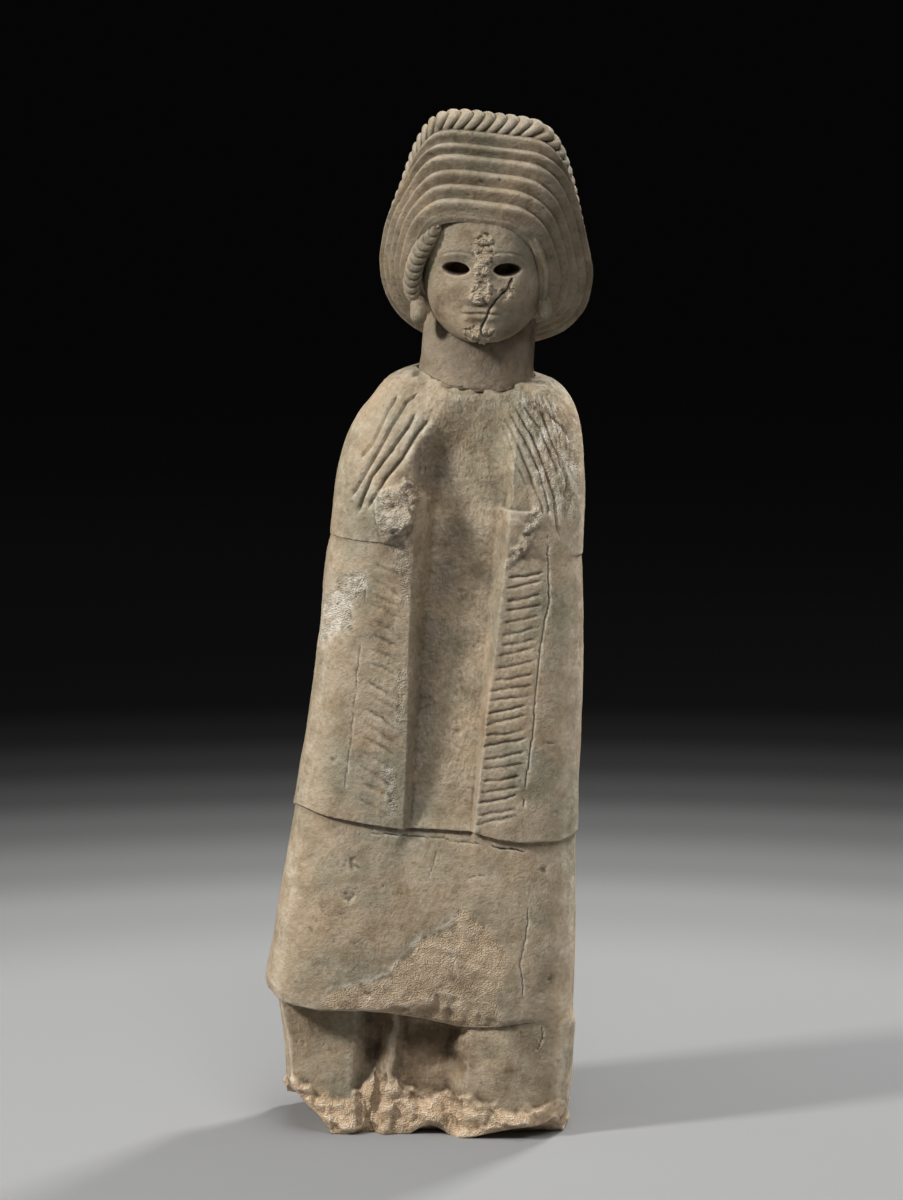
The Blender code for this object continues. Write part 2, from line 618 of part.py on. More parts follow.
# Folds over the shoulders: start and end across and up, and how far the middle bows outwards
FOLDS = (
    (-0.0510, 0.5440, -0.0765, 0.4950, 0.000),
    (-0.0370, 0.5420, -0.0745, 0.4760, -0.005),
    (-0.0340, 0.5300, -0.0680, 0.4720, 0.002),
    (-0.0250, 0.5260, -0.0665, 0.4590, 0.001),
    (0.0250, 0.5240, 0.0490, 0.4800, 0.001),
    (0.0265, 0.5290, 0.0610, 0.4600, 0.005),
    (0.0295, 0.5330, 0.0660, 0.4600, 0.006),
    (0.0340, 0.5370, 0.0745, 0.4470, 0.006),
    (0.0400, 0.5370, 0.0710, 0.4890, 0.003),
    (0.0510, 0.5350, 0.0770, 0.4830, 0.003),
    (0.0600, 0.5290, 0.0775, 0.5110, 0.002),
)


def make_strokes(collection):
    """Cutters for the fringe of the right lappet and for the folds over the shoulders."""
    bm = bmesh.new()
    count = int((HAND_Z - 0.040 - CLOAK_Z - 0.008) / FRINGE_PITCH)
    x = np.linspace(LAPPET_RIGHT + 0.0025, LAPPET_SIDE, 2)
    for k in range(count + 1):
        z = CLOAK_Z + 0.006 + k * FRINGE_PITCH + (x - x[0]) * math.tan(FRINGE_SLOPE)
        front_stroke(bm, x, z, FRINGE_WIDTH, FRINGE_DEPTH)
    share = np.linspace(0, 1, 4)
    for x0, z0, x1, z1, bow in FOLDS:
        x = x0 + (x1 - x0) * share + bow * 4 * share * (1 - share)
        front_stroke(bm, x, z0 + (z1 - z0) * share, FOLD_WIDTH, FOLD_DEPTH)
    strokes = mesh_object("strokes", bm, collection)
    lean_mesh(strokes)
    return strokes


def break_height(x, y):
    """Underside of the broken base. It ends below the floor where the figure stands on it."""
    lost = LOST_RISE + LOST_FRONT_RISE * np.clip((0.02 - y) / 0.06, 0, 1)
    corner = lost * np.clip((-LOST_CORNER - x) / LOST_REACH, 0, 1) ** 0.8
    front = np.clip((-WORN_FRONT - y) / 0.02, 0, 1)
    edge = WORN_RISE * front * np.clip((x - 0.002) / 0.088, 0, 1) ** 0.75
    uneven = 0.0022 * np.sin(150 * x + 1.0) * np.cos(120 * y + 0.5)
    return -0.004 + corner + edge + uneven


def make_break(collection):
    """Cutter below the broken base, a block with the break as its top."""
    bm = bmesh.new()
    reach_x, reach_y = LEG_RIGHT + 0.02, HEM_DEPTH + 0.02
    bmesh.ops.create_grid(bm, x_segments=18, y_segments=12, size=1.0)
    for vert in bm.verts:
        x, y = vert.co.x * reach_x, vert.co.y * reach_y
        vert.co = (x, y, float(break_height(x, y)))
    lifted = bmesh.ops.extrude_face_region(bm, geom=list(bm.faces))
    for vert in (item for item in lifted["geom"] if isinstance(item, bmesh.types.BMVert)):
        vert.co.z = -0.03
    return mesh_object("base_break", bm, collection)


def make_sockets(collection):
    """Cutters for the two empty eye sockets."""
    bm = bmesh.new()
    eye = CHIN_Z + 1.72 * (HAIRLINE_Z - CHIN_Z) / 3
    for side in (-1, 1):
        ball = bmesh.ops.create_uvsphere(bm, u_segments=14, v_segments=7, radius=1.0)["verts"]
        for vert in ball:
            x, z, y = vert.co
            x = side * EYE_SIDE + x * EYE_WIDTH / 2
            y = EYE_SINK - FACE_FRONT - y * EYE_DEPTH
            vert.co = place_head(np.array([[x, y, eye + z * EYE_HEIGHT / 2]]))[0]
    return mesh_object("sockets", bm, collection)


def boolean(target, cutter, operation):
    modifier = target.modifiers.new(cutter.name, "BOOLEAN")
    modifier.object = cutter
    modifier.operation = operation
    modifier.use_self = operation == "DIFFERENCE"
    cutter.hide_render = True
    cutter.display_type = "WIRE"


def make_head(collection, cutters):
    neck = make_neck(collection)
    for form in (make_face(cutters), make_turban(cutters), make_plait(cutters)):
        boolean(neck, form, "UNION")
    boolean(neck, make_sockets(cutters), "DIFFERENCE")
    return neck


def stone(name, colour, roughness):
    material = bpy.data.materials.new(name)
    material.use_nodes = True
    shader = material.node_tree.nodes["Principled BSDF"]
    shader.inputs["Base Color"].default_value = (*colour, 1.0)
    shader.inputs["Roughness"].default_value = roughness
    shader.inputs["Metallic"].default_value = 0.0
    return material


def clear_scene():
    for item in list(bpy.data.objects):
        bpy.data.objects.remove(item)


def new_collection(name):
    collection = bpy.data.collections.new(name)
    bpy.context.scene.collection.children.link(collection)
    return collection


def main():
    clear_scene()
    statue = new_collection("praying_woman_statue")
    body = make_body(statue)
    body.data.materials.append(stone("body_stone", (0.27, 0.22, 0.15), 0.85))
    cutters = new_collection("forms_and_cutters")
    for cutter in (make_strokes(cutters), make_break(cutters)):
        boolean(body, cutter, "DIFFERENCE")
    head = make_head(statue, cutters)
    head.data.materials.append(stone("head_stone", (0.26, 0.21, 0.14), 0.85))


main()
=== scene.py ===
# Looks of a stone figure of a standing woman: worn carving, weathered stone, floor, lights and camera.
# Metres, +Z up, front towards -Y. Left and right are the viewer's.
# As in the CAD model, the figure is shaped in the frame of its own axis and then leaned over it.
# The forms of that model are built again with many more points, and relief is added to them.
# Relief is in millimetres, and so are the sizes of its random patterns. A pattern's last numbers are
# its seed and, for rough, how many times it gets finer.

import itertools
import math

import bmesh
import bpy
import numpy as np
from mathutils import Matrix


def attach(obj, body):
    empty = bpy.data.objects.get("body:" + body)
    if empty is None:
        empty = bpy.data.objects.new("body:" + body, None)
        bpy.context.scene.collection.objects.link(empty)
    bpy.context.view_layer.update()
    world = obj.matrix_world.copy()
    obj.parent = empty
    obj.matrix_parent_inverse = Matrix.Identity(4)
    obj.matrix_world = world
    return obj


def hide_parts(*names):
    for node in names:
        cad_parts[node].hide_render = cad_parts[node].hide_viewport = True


# Sizes of the CAD model
LEAN = math.radians(4.37)
LEAN_SINE, LEAN_COSINE = math.sin(LEAN), math.cos(LEAN)
AXIS_LEFT = 0.0217
BREAK_GAP = 0.0003
HEM_Z = 0.0925
CLOAK_Z = 0.2305
CAPE_Z = 0.434
NECK_Z = 0.56
HEM_WIDTH = 0.1125
HEM_DEPTH = 0.0745
CLOAK_WIDTH = 0.105
CLOAK_DEPTH = 0.071
SHOULDER_WIDTH = 0.0905
SHOULDER_DEPTH = 0.06
NECK_WIDTH = 0.043
NECK_DEPTH = 0.037
NECK_SIDE = 0.005
NECK_BURIED = 0.036
NECK_SLOPE = 0.0115
NECK_DISH = 0.003
LEG_LEFT = 0.099
LEG_RIGHT = 0.115
LEG_DEPTH = 0.07
LEG_FRONT = (
    (-0.045, 0.0235), (-0.038, 0.034), (-0.026, 0.034), (-0.021, 0.016), (-0.014, 0.0235),
    (0.026, 0.022), (0.034, 0.006), (0.06, 0.0015), (0.103, 0),
)
LOST_CORNER = 0.078
LOST_REACH = 0.037
LOST_RISE = 0.021
LOST_FRONT_RISE = 0.025
WORN_RISE = 0.0175
WORN_FRONT = 0.036
CHANNEL_DEPTH = 0.023
LAPPET_LEFT = 0.028
LAPPET_RIGHT = 0.032
CHANNEL_LEFT = 0.017
CHANNEL_RIGHT = 0.0255
LAPPET_SIDE = 0.0625
HAND_Z = 0.457
HAND_SIDE = 0.047
HAND_PROUD = 0.009
CHIN_RISE = 0.024
HEAD_SIDE = 0.0085
HEAD_TURN = math.radians(3)
HEAD_ROLL = math.radians(3)
FACE_HEIGHT = 0.0895
FACE_WIDTH = 0.045
FACE_FRONT = 0.067
FACE_MIDDLE = 0.02
FACE_BACK = 0.03
EYE_SIDE = 0.019
EYE_WIDTH = 0.019
EYE_HEIGHT = 0.009
HAIR_SIZE = 0.0085
HAIR_RIGHT = 0.2
HAIR_TUCK = 0.012
TURBAN_RISE = 0.0603
TURBAN_WIDTH = 0.0745
TURBAN_DROP = 0.0335
TURBAN_FRONT = 0.07
TURBAN_TAPER = 0.024
HAIR_TAPER = 0.01
NAPE_DROP = 0.005
HAIR_RISE = 0.021
TURBAN_SLOPE = 1.43
BAND_STEP = 0.0022
BAND_SKEW = 0.09
BAND_EDGES = (0, 0.182, 0.352, 0.521, 0.701, 0.834, 1)
PLAIT_SIZE = 0.019
PLAIT_PITCH = 0.008
PLAIT_NOTCH = 0.0026
BACK_DOME = 0.04
CHIN_Z = NECK_Z + CHIN_RISE
HAIRLINE_Z = CHIN_Z + FACE_HEIGHT
TURBAN_WAIST = HAIRLINE_Z - TURBAN_DROP
CORNER = 0.9

# Fineness of the meshes
BODY_ROWS = (92, 132, 270, 150)
BODY_FRONT = (34, 40, 26, 44, 24, 36, 34)
BODY_SIDE = 52
BODY_BACK = 90
LEDGE_ROWS = 9
UNDERSIDE_RINGS = 26
NECK_ROWS = 70
TURBAN_COLUMNS = 420
BAND_ROWS = 16
DOME_ROWS = 30
PLAIT_SIDES = 36
STRAND_STEPS = 14
FACE_COLUMNS = 170
FACE_ROWS = 180
LOCK_ROWS = 110
LOCK_SIDES = 40
END_RINGS = (0.9, 0.66, 0.33)
PIECE_TRIANGLES = 190_000
SLIVER = 0.00002

# Camera
CAMERA_X = 0.0077
CAMERA_AWAY = 3.1
CAMERA_Z = 0.72
CAMERA_TILT = math.radians(6.1)
CAMERA_LENS = 127
CAMERA_SENSOR = 36


def joined(*parts):
    """Numbers or arrays side by side along a new last axis."""
    return np.stack(parts, axis=-1)


def split(points):
    """The coordinates of points, each as an array of its own."""
    return np.moveaxis(points, -1, 0)


def smooth(a, b, x):
    """Soft step from 0 at a to 1 at b."""
    t = np.clip((x - a) / (b - a), 0, 1)
    return t * t * (3 - 2 * t)


def bump(centre, reach, x):
    """Soft hill of height 1 that ends at reach either side of centre."""
    return 1 - smooth(0, reach, np.abs(x - centre))


def curve_through(stations, z):
    """Each column of stations at heights z, on a smooth curve that never overshoots them."""
    stations = np.array(stations, float)
    x, y = stations[:, 0], stations[:, 1:]
    step = np.diff(x)[:, None]
    slope = np.diff(y, axis=0) / step
    total = slope[:-1] + slope[1:]
    product = slope[:-1] * slope[1:]
    middle = np.where(product > 0, 2 * product / np.where(total == 0, 1, total), 0)
    tangent = np.vstack([slope[:1], middle, slope[-1:]])
    z = np.clip(z, x[0], x[-1])
    i = np.clip(np.searchsorted(x, z, side="right") - 1, 0, len(x) - 2)
    h = step[i]
    t = (z - x[i])[:, None] / h
    value = (2 * t**3 - 3 * t**2 + 1) * y[i] + (t**3 - 2 * t**2 + t) * h * tangent[i]
    return value + (3 * t**2 - 2 * t**3) * y[i + 1] + (t**3 - t**2) * h * tangent[i + 1]


def run_along(points):
    """How far along a line of points each one lies."""
    return np.concatenate([[0], np.cumsum(np.linalg.norm(np.diff(points, axis=0), axis=1))])


def unit(vectors):
    """The same vectors at a length of 1."""
    return vectors / np.linalg.norm(vectors, axis=-1, keepdims=True)


def lean(x, y, z):
    """World places of points given in the frame of the figure's axis."""
    return joined(x * LEAN_COSINE + z * LEAN_SINE - AXIS_LEFT, y, z * LEAN_COSINE - x * LEAN_SINE)


def unlean(points):
    """The same points back in the frame of the figure's axis."""
    x, y, z = split(points)
    x = x + AXIS_LEFT
    return joined(x * LEAN_COSINE - z * LEAN_SINE, y, z * LEAN_COSINE + x * LEAN_SINE)


# Random patterns, the same on every run
CELL_OFFSET = 1_000_000
CELL_PRIMES = (374761393, 668265263, 2147483647)
SEED_PRIME = 974634777
MIXERS = ((15, 2246822519), (13, 3266489917))
LAST_MIX = 16
HIGHEST = 0xFFFFFF


def scatter(cell, seed):
    """A number from 0 to 1 for each whole-number cell."""
    cell = (cell + CELL_OFFSET).astype(np.uint64)
    mixed = np.uint64(seed) * np.uint64(SEED_PRIME)
    for axis, prime in enumerate(CELL_PRIMES):
        mixed = mixed + cell[..., axis] * np.uint64(prime)
    for shift, factor in MIXERS:
        mixed = (mixed ^ (mixed >> np.uint64(shift))) * np.uint64(factor)
    return ((mixed ^ (mixed >> np.uint64(LAST_MIX))) & np.uint64(HIGHEST)) / float(HIGHEST)


def direction(cell, seed):
    """A direction for each cell."""
    turn = scatter(cell, seed) * 2 * math.pi
    rise = scatter(cell, seed + 17) * 2 - 1
    flat = np.sqrt(np.maximum(1 - rise**2, 0))
    return joined(flat * np.cos(turn), flat * np.sin(turn), rise)


def noise(points, size, seed=0):
    """Smooth noise from about -1 to 1, with features of about the given size."""
    p = points / size
    base = np.floor(p).astype(np.int64)
    offset = p - base
    t = offset**3 * (offset * (6 * offset - 15) + 10)
    total = np.zeros(points.shape[:-1])
    for corner in itertools.product((0, 1), repeat=3):
        corner = np.array(corner)
        weight = np.prod(np.where(corner, t, 1 - t), axis=-1)
        total += weight * (direction(base + corner, seed) * (offset - corner)).sum(axis=-1)
    return total * 1.6


def rough(points, size, seed=0, octaves=4):
    """Noise with ever finer detail, from about -1 to 1."""
    total = 0
    for octave in range(octaves):
        total = total + 0.5**octave * noise(points, size / 2**octave, seed + 31 * octave)
    return total / 1.4


def cells_near(points, size):
    """Places in units of a cell's size, with each of the 27 cells round every place in turn."""
    places = points / size
    base = np.floor(places).astype(np.int64)
    for step in itertools.product((-1, 0, 1), repeat=3):
        yield places, base + np.array(step)


def scoops(points, size, seed):
    """Scooped hollows of the given size that meet in sharp ridges, from about -0.5 to 1.1."""
    lowest = np.full(points.shape[:-1], 9.0)
    for places, cell in cells_near(points, size):
        offset = places - (cell + 0.5 + 0.42 * direction(cell, seed))
        lowest = np.minimum(lowest, (offset**2).sum(axis=-1) + 0.45 * (scatter(cell, seed + 9) - 0.5))
    return 0.6 - 2.4 * lowest


def facets(points, size, seed=0):
    """Broken stone, from about -1 to 1: hollows and lumps of the given size with sharp edges."""
    warp = 0.3 * size * noise(points, size * 1.6, seed + 1)
    moved = points + warp[..., None] * np.array([1, -0.6, 0.8])
    return scoops(moved, size, seed) - scoops(moved, size * 0.83, seed + 40)


def within(mask, points, relief):
    """A relief times its mask, worked out only where the mask is above zero."""
    out = np.zeros(mask.shape)
    near = mask > 0.001
    out[near] = mask[near] * relief(points[near])
    return out


def pits(points, size, share, seed=0):
    """Small round hollows, from 0 to 1, in a share of the cells of the given size."""
    deepest = np.zeros(points.shape[:-1])
    for places, cell in cells_near(points, size):
        middle = cell + 0.5 + 0.4 * direction(cell, seed)
        reach = 0.16 + 0.24 * scatter(cell, seed + 3)
        there = scatter(cell, seed + 7) < share
        distance = np.sqrt(((places - middle) ** 2).sum(axis=-1))
        deepest = np.maximum(deepest, there * (1 - smooth(0.3, 1, distance / reach)))
    return deepest


# Lines and areas on the front, in millimetres across and up the figure's frame

def path_distance(x, z, path):
    """Distance of points from a path, and how far along it each one lies, from 0 to 1."""
    path = np.array(path, float)
    nearest = np.full(x.shape, 1e9)
    along = np.zeros(x.shape)
    steps = np.diff(path, axis=0)
    lengths = np.hypot(steps[:, 0], steps[:, 1])
    starts = np.concatenate([[0], np.cumsum(lengths)])
    for (x0, z0), (dx, dz), length, start in zip(path[:-1], steps, lengths, starts):
        t = np.clip(((x - x0) * dx + (z - z0) * dz) / length**2, 0, 1)
        distance = np.hypot(x - x0 - t * dx, z - z0 - t * dz)
        closer = distance < nearest
        nearest = np.where(closer, distance, nearest)
        along = np.where(closer, (start + t * length) / starts[-1], along)
    return nearest, along


def line(x, z, path, width, fade=0.12):
    """A line along a path, 1 on it and 0 past its half width, that runs out at both ends."""
    path = np.array(path, float)
    low, high = path.min(axis=0) - width, path.max(axis=0) + width
    near = (x > low[0]) & (x < high[0]) & (z > low[1]) & (z < high[1])
    out = np.zeros(x.shape)
    distance, along = path_distance(x[near], z[near], path)
    ends = smooth(0, fade, along) * smooth(1, 1 - fade, along)
    out[near] = np.clip(1 - distance / (width * (0.35 + 0.65 * ends)), 0, 1) * ends**0.5
    return out


def area(x, z, corners, soft):
    """1 well inside a polygon and 0 outside it, with a soft border."""
    ring = [*corners, corners[0]]
    distance, along = path_distance(x, z, ring)
    odd = np.zeros(x.shape, bool)
    for (x0, z0), (x1, z1) in zip(ring[:-1], ring[1:]):
        if z0 != z1:
            odd ^= ((z0 > z) != (z1 > z)) & (x < x0 + (z - z0) * (x1 - x0) / (z1 - z0))
    return smooth(-soft, soft, np.where(odd, distance, -distance))


# The body's form, as in the CAD model

def neck_break(x, y):
    """Height of the broken neck: lower in front, dished, and uneven."""
    out = ((x - NECK_SIDE) / NECK_WIDTH) ** 2 + (y / NECK_DEPTH) ** 2
    tilt = NECK_SLOPE * y / NECK_DEPTH - NECK_DISH
    uneven = 0.0009 * np.sin(190 * x + 1.3) * np.cos(160 * y) + 0.0006 * np.sin(420 * x - 260 * y)
    return NECK_Z + tilt - NECK_DISH * (1 - np.clip(out, 0, 1)) + uneven


# Sections, block by block: height, half width left and right, depth in front and behind,
# squareness of the corners, centre from the axis, sideways roll, drop in front, rise behind
def leg_stations():
    return [
        (0, LEG_LEFT - 0.004, LEG_RIGHT - 0.002, LEG_DEPTH, LEG_DEPTH - 0.003, 5, 0, 0, 0, 0),
        (0.04, LEG_LEFT - 0.001, LEG_RIGHT, LEG_DEPTH, LEG_DEPTH - 0.002, 5, 0, 0, 0, 0),
        (HEM_Z, LEG_LEFT + 0.007, LEG_RIGHT - 0.001, LEG_DEPTH, LEG_DEPTH - 0.001, 5, 0, 0, 0, 0),
    ]


def skirt_stations():
    w, d, top = HEM_WIDTH, HEM_DEPTH, CLOAK_WIDTH
    tall = CLOAK_Z - HEM_Z
    return [
        (HEM_Z, w + 0.001, w - 0.001, d - 0.001, d - 0.003, 4.6, 0, 0, 0, 0),
        (HEM_Z + 0.07 * tall, w + 0.0035, w - 0.001, d, d - 0.002, 4.6, 0, 0, 0, 0),
        (HEM_Z + 0.25 * tall, w + 0.001, w - 0.0015, d + 0.0005, d - 0.0025, 4.6, 0, 0, 0, 0),
        (HEM_Z + 0.58 * tall, w - 0.003, w - 0.0045, d - 0.001, d - 0.0035, 4.5, 0, 0, 0, 0),
        (CLOAK_Z, top - 0.0015, top - 0.002, CLOAK_DEPTH - 0.0045, CLOAK_DEPTH - 0.001, 4.4, 0, 0, 0, 0),
    ]


def cloak_stations():
    w, d = CLOAK_WIDTH, CLOAK_DEPTH
    tall = CAPE_Z - CLOAK_Z
    return [
        (CLOAK_Z, w, w, d, d, 4.4, 0, 0, 0, 0),
        (CLOAK_Z + 0.146 * tall, w - 0.0025, w - 0.0015, d - 0.001, d - 0.001, 4.3, 0, 0, 0, 0),
        (CLOAK_Z + 0.355 * tall, w - 0.0065, w - 0.003, d - 0.0025, d - 0.003, 4.2, 0, 0, 0, 0),
        (CLOAK_Z + 0.706 * tall, w - 0.0092, w - 0.007, d - 0.005, d - 0.006, 4, 0, 0, 0, 0),
        (CLOAK_Z + 0.925 * tall, w - 0.0103, w - 0.0112, d - 0.007, d - 0.0085, 3.8, 0, 0, 0, 0),
        (CAPE_Z, w - 0.0128, w - 0.013, d - 0.0075, d - 0.009, 3.7, 0, 0, 0, 0),
    ]


def cape_stations():
    w, d, neck = SHOULDER_WIDTH, SHOULDER_DEPTH, NECK_WIDTH
    z, tall = CAPE_Z, NECK_Z - CAPE_Z
    return [
        (z, w + 0.0025, w + 0.0025, d + 0.0045, d + 0.0035, 3.7, 0, 0, 0, 0),
        (z + 0.27 * tall, w + 0.0015, w + 0.001, d + 0.003, d + 0.002, 3.5, 0, 0.01, 0, 0),
        (z + 0.5 * tall, w - 0.002, w - 0.002, d - 0.002, d - 0.002, 3.2, 0, 0.03, 0, 0),
        (z + 0.619 * tall, w - 0.0055, w - 0.0045, d - 0.0055, d - 0.005, 2.9, 0, 0.05, 0.001, 0.0005),
        (z + 0.738 * tall, w - 0.011, w - 0.0085, d - 0.01, d - 0.008, 2.6, 0, 0.07, 0.003, 0.001),
        (z + 0.849 * tall, w - 0.019, w - 0.017, d - 0.015, d - 0.0115, 2.4, 0.001, 0.08, 0.006, 0.003),
        (z + 0.94 * tall, w - 0.0275, w - 0.028, d - 0.019, d - 0.015, 2.2, 0.002, 0.065, 0.009, 0.005),
        (z + 0.984 * tall, w - 0.036, w - 0.04, d - 0.0215, d - 0.019, 2.1, 0.004, 0.03, NECK_SLOPE, 0.007),
        (NECK_Z, neck, neck, NECK_DEPTH, NECK_DEPTH, 2, NECK_SIDE, 0, NECK_SLOPE, NECK_SLOPE),
    ]


def front_lines(z, left, right):
    """Where the eight lines that the carving follows down the front cross each height.

    From the left: corner, lappet, wall top, wall foot, wall foot, wall top, lappet, corner."""
    skirt = smooth(CLOAK_Z, CLOAK_Z - 0.03, z)
    chest = smooth(HAND_Z + 0.005, HAND_Z + 0.05, z)
    throat = smooth(NECK_Z - 0.035, NECK_Z, z)
    down = smooth(HAND_Z, CLOAK_Z, z)

    def mixed(lappet, low, high, top):
        x = lappet + (low - lappet) * skirt
        x = x + (high - x) * chest
        return x + (top - x) * throat

    w, s = CLOAK_WIDTH, SHOULDER_WIDTH
    return np.column_stack([
        -CORNER * left,
        mixed(-LAPPET_SIDE, -0.673 * w, -0.689 * s, -0.7 * left),
        mixed(-LAPPET_LEFT - 0.005 + 0.0085 * down, -0.385 * w, -0.478 * s, -0.42 * left),
        mixed(-CHANNEL_LEFT, -0.202 * w, -0.122 * s, -0.16 * left),
        mixed(CHANNEL_RIGHT, 0.212 * w, 0.178 * s, 0.16 * right),
        mixed(LAPPET_RIGHT + 0.005 - 0.008 * down, 0.346 * w, 0.411 * s, 0.42 * right),
        mixed(LAPPET_SIDE + 0.004 - 0.004 * down, 0.673 * w, 0.733 * s, 0.7 * right),
        CORNER * right,
    ])


def channel_depth(z):
    """Depth of the hollow between the arms and the lappets."""
    skirt, cloak, chest = CLOAK_Z - HEM_Z, HAND_Z - CLOAK_Z, NECK_Z - HAND_Z
    shares = [
        (HEM_Z + 0.365 * skirt, 0),
        (HEM_Z + 0.97 * skirt, 0.15),
        (CLOAK_Z + 0.052 * cloak, 0.4),
        (CLOAK_Z + 0.35 * cloak, 0.74),
        (CLOAK_Z + 0.744 * cloak, 1),
        (HAND_Z, 1),
        (HAND_Z + 0.39 * chest, 0.62),
        (HAND_Z + 0.66 * chest, 0.22),
        (HAND_Z + 0.883 * chest, 0),
    ]
    return curve_through([(level, share * CHANNEL_DEPTH) for level, share in shares], z)[:, 0]


def leg_hollow(x, z):
    """How far the front of the feet block stands back, with the slot between the feet."""
    place = joined(x, 0 * x, z + 0 * x)
    x = x + 0.0026 * noise(place, 0.018, 84)
    steps = (-0.0035, -0.0012, 0.0012, 0.0035)
    across = sum(np.interp(x + step, *np.array(LEG_FRONT).T) for step in steps) / len(steps)
    across = across + 0.0012 * noise(place, 0.024, 85)
    return across * (0.75 + 0.25 * smooth(0.01, HEM_Z - 0.02, z))


def carve(x, z, lines):
    """Depth of the carving behind the front of the block at each point."""
    left_top, left_foot, right_foot, right_top = (lines[:, [i]] for i in range(2, 6))
    left_wall = smooth(0, 1, (x - left_top) / (left_foot - left_top))
    right_wall = smooth(0, 1, (right_top - x) / (right_top - right_foot))
    depth = channel_depth(z[:, 0])[:, None] * left_wall * right_wall
    stump = HAND_PROUD * bump(-HAND_SIDE, 0.022, x) * bump(HAND_Z, 0.026, z)
    wrist = 0.35 * HAND_PROUD * bump(HAND_SIDE - 0.005, 0.02, x) * bump(HAND_Z - 0.004, 0.016, z)
    return depth - stump - wrist


def body_rows(blocks, counts):
    """Sections of every block, one below the next, with both edges of each block kept."""
    rows = []
    for stations, count in zip(blocks, counts):
        bottom, top = stations[0][0], stations[-1][0]
        share = np.linspace(0, 1, count)
        if top > CAPE_Z:
            share = 1 - (1 - share) ** 1.4
        z = bottom + (top - bottom) * share
        rows.append(np.column_stack([z, curve_through(stations, z)]))
    return rows


def ring_of(rows):
    """The surface of the body as rows of points, counterclockwise from the left front corner."""
    z, left, right, front, back, square, centre, roll, drop, rise = (rows[:, [i]] for i in range(10))
    lines = front_lines(rows[:, 0], rows[:, 1], rows[:, 2])

    def bow(share):
        return (1 - np.abs(share) ** square) ** (1 / square)

    xs = [lines[:, [0]]]
    for i, count in enumerate(BODY_FRONT):
        share = np.linspace(0, 1, count + 1)[1:]
        xs.append(lines[:, [i]] + (lines[:, [i + 1]] - lines[:, [i]]) * share)
    x_front = np.hstack(xs)
    y_front = carve(x_front, z, lines) - front * bow(x_front / np.where(x_front < 0, left, right))
    share = np.linspace(-1, 1, BODY_SIDE + 2)[1:-1]
    depth = np.where(share < 0, front, back)
    y_side = bow(CORNER) * depth * share
    x_side = bow(y_side / depth)
    share = np.linspace(CORNER, -CORNER, BODY_BACK)[None, :]
    x_back = share * np.where(share < 0, left, right)
    y_back = back * bow(x_back / np.where(x_back < 0, left, right))
    x = np.hstack([x_front, x_side * right, x_back, -(x_side * left)[:, ::-1]])
    y = np.hstack([y_front, y_side, y_back, y_side[:, ::-1]])
    if rows[0, 0] < HEM_Z:
        y = np.maximum(y, leg_hollow(x, z) - front)
    depth = np.where(y < 0, front, back)
    lift = np.where(y < 0, -drop, rise) * np.minimum((y / depth) ** 2, 1)
    return joined(x + centre, y, z + roll * x + lift)


def break_height(x, y):
    """Underside of the broken base in the world: a lost left corner, a worn right edge and a hole."""
    lost = LOST_RISE + LOST_FRONT_RISE * np.clip((0.02 - y) / 0.06, 0, 1)
    corner = lost * np.clip((-LOST_CORNER - x) / LOST_REACH, 0, 1) ** 0.8
    front = np.clip((-WORN_FRONT - y) / 0.02, 0, 1)
    edge = WORN_RISE * front * np.clip((x - 0.002) / 0.088, 0, 1) ** 0.75
    hole = 0.0085 * front * bump(-0.008, 0.015, x) ** 0.5
    uneven = 0.0022 * np.sin(150 * x + 1) * np.cos(120 * y + 0.5)
    return np.maximum(-0.004 + corner + edge + uneven, 0) + hole


# Carving on the front of the body, in millimetres across and up the figure's frame
LEFT_FOLDS = (
    ((-50.6, 541.6), (-58.5, 525.7), (-66.5, 503.8), (-75.5, 490.9)),
    ((-33.7, 545.2), (-44.6, 534.8), (-53.6, 517.9), (-61.5, 500), (-74.5, 474.1), (-80.5, 461)),
    ((-35.7, 532), (-41.6, 518.2), (-54.5, 497.3), (-65.5, 480.4), (-71.5, 463), (-74, 450)),
    ((-24.3, 528.2), (-34.7, 513.3), (-44.1, 495.5), (-55.5, 479.6), (-64.5, 463.7), (-67.5, 454.7)),
)
RIGHT_FOLDS = (
    ((24.3, 526.9), (33.7, 505.6), (48.7, 480.2)),
    ((25.2, 532), (38.6, 511.2), (48.6, 491.3), (59.1, 469.4), (60.6, 458.5)),
    ((28.7, 536.5), (43.6, 515.2), (54.5, 495.3), (63.5, 470.4), (64.5, 459)),
    ((31.7, 541.8), (48.6, 518), (59.5, 495.2), (68, 475.2), (71.1, 455.3), (75.6, 442.3)),
    ((38.7, 541.7), (54.6, 522.8), (66.5, 498), (69.6, 490)),
    ((51.6, 539.6), (61.6, 518.7), (73.6, 493.9), (77.6, 484.9), (74.1, 472.9)),
    ((59.7, 533.8), (70, 526), (78.2, 515.4)),
)
# Each sleeve's folds: paths, strengths, wobble, width, depth of the round valley and of the sharp
# slot in it, and where across the valley the slot begins and is full
FOLDS = (
    (LEFT_FOLDS, (0.8, 1, 1.15, 1.15), 0.25, 4.8, 1.7, 1.3, 0.62, 0.95),
    (RIGHT_FOLDS, (0.45, 0.8, 0.9, 1, 0.9, 0.9, 0.7), 0.5, 3.8, 1.2, 0.9, 0.55, 1),
)
CRACK_RIGHT = (
    (64.9, 452), (69.5, 399.3), (65.6, 367.3), (65.1, 335.3), (64.8, 304.1), (63.8, 280), (61.9, 244.7),
)
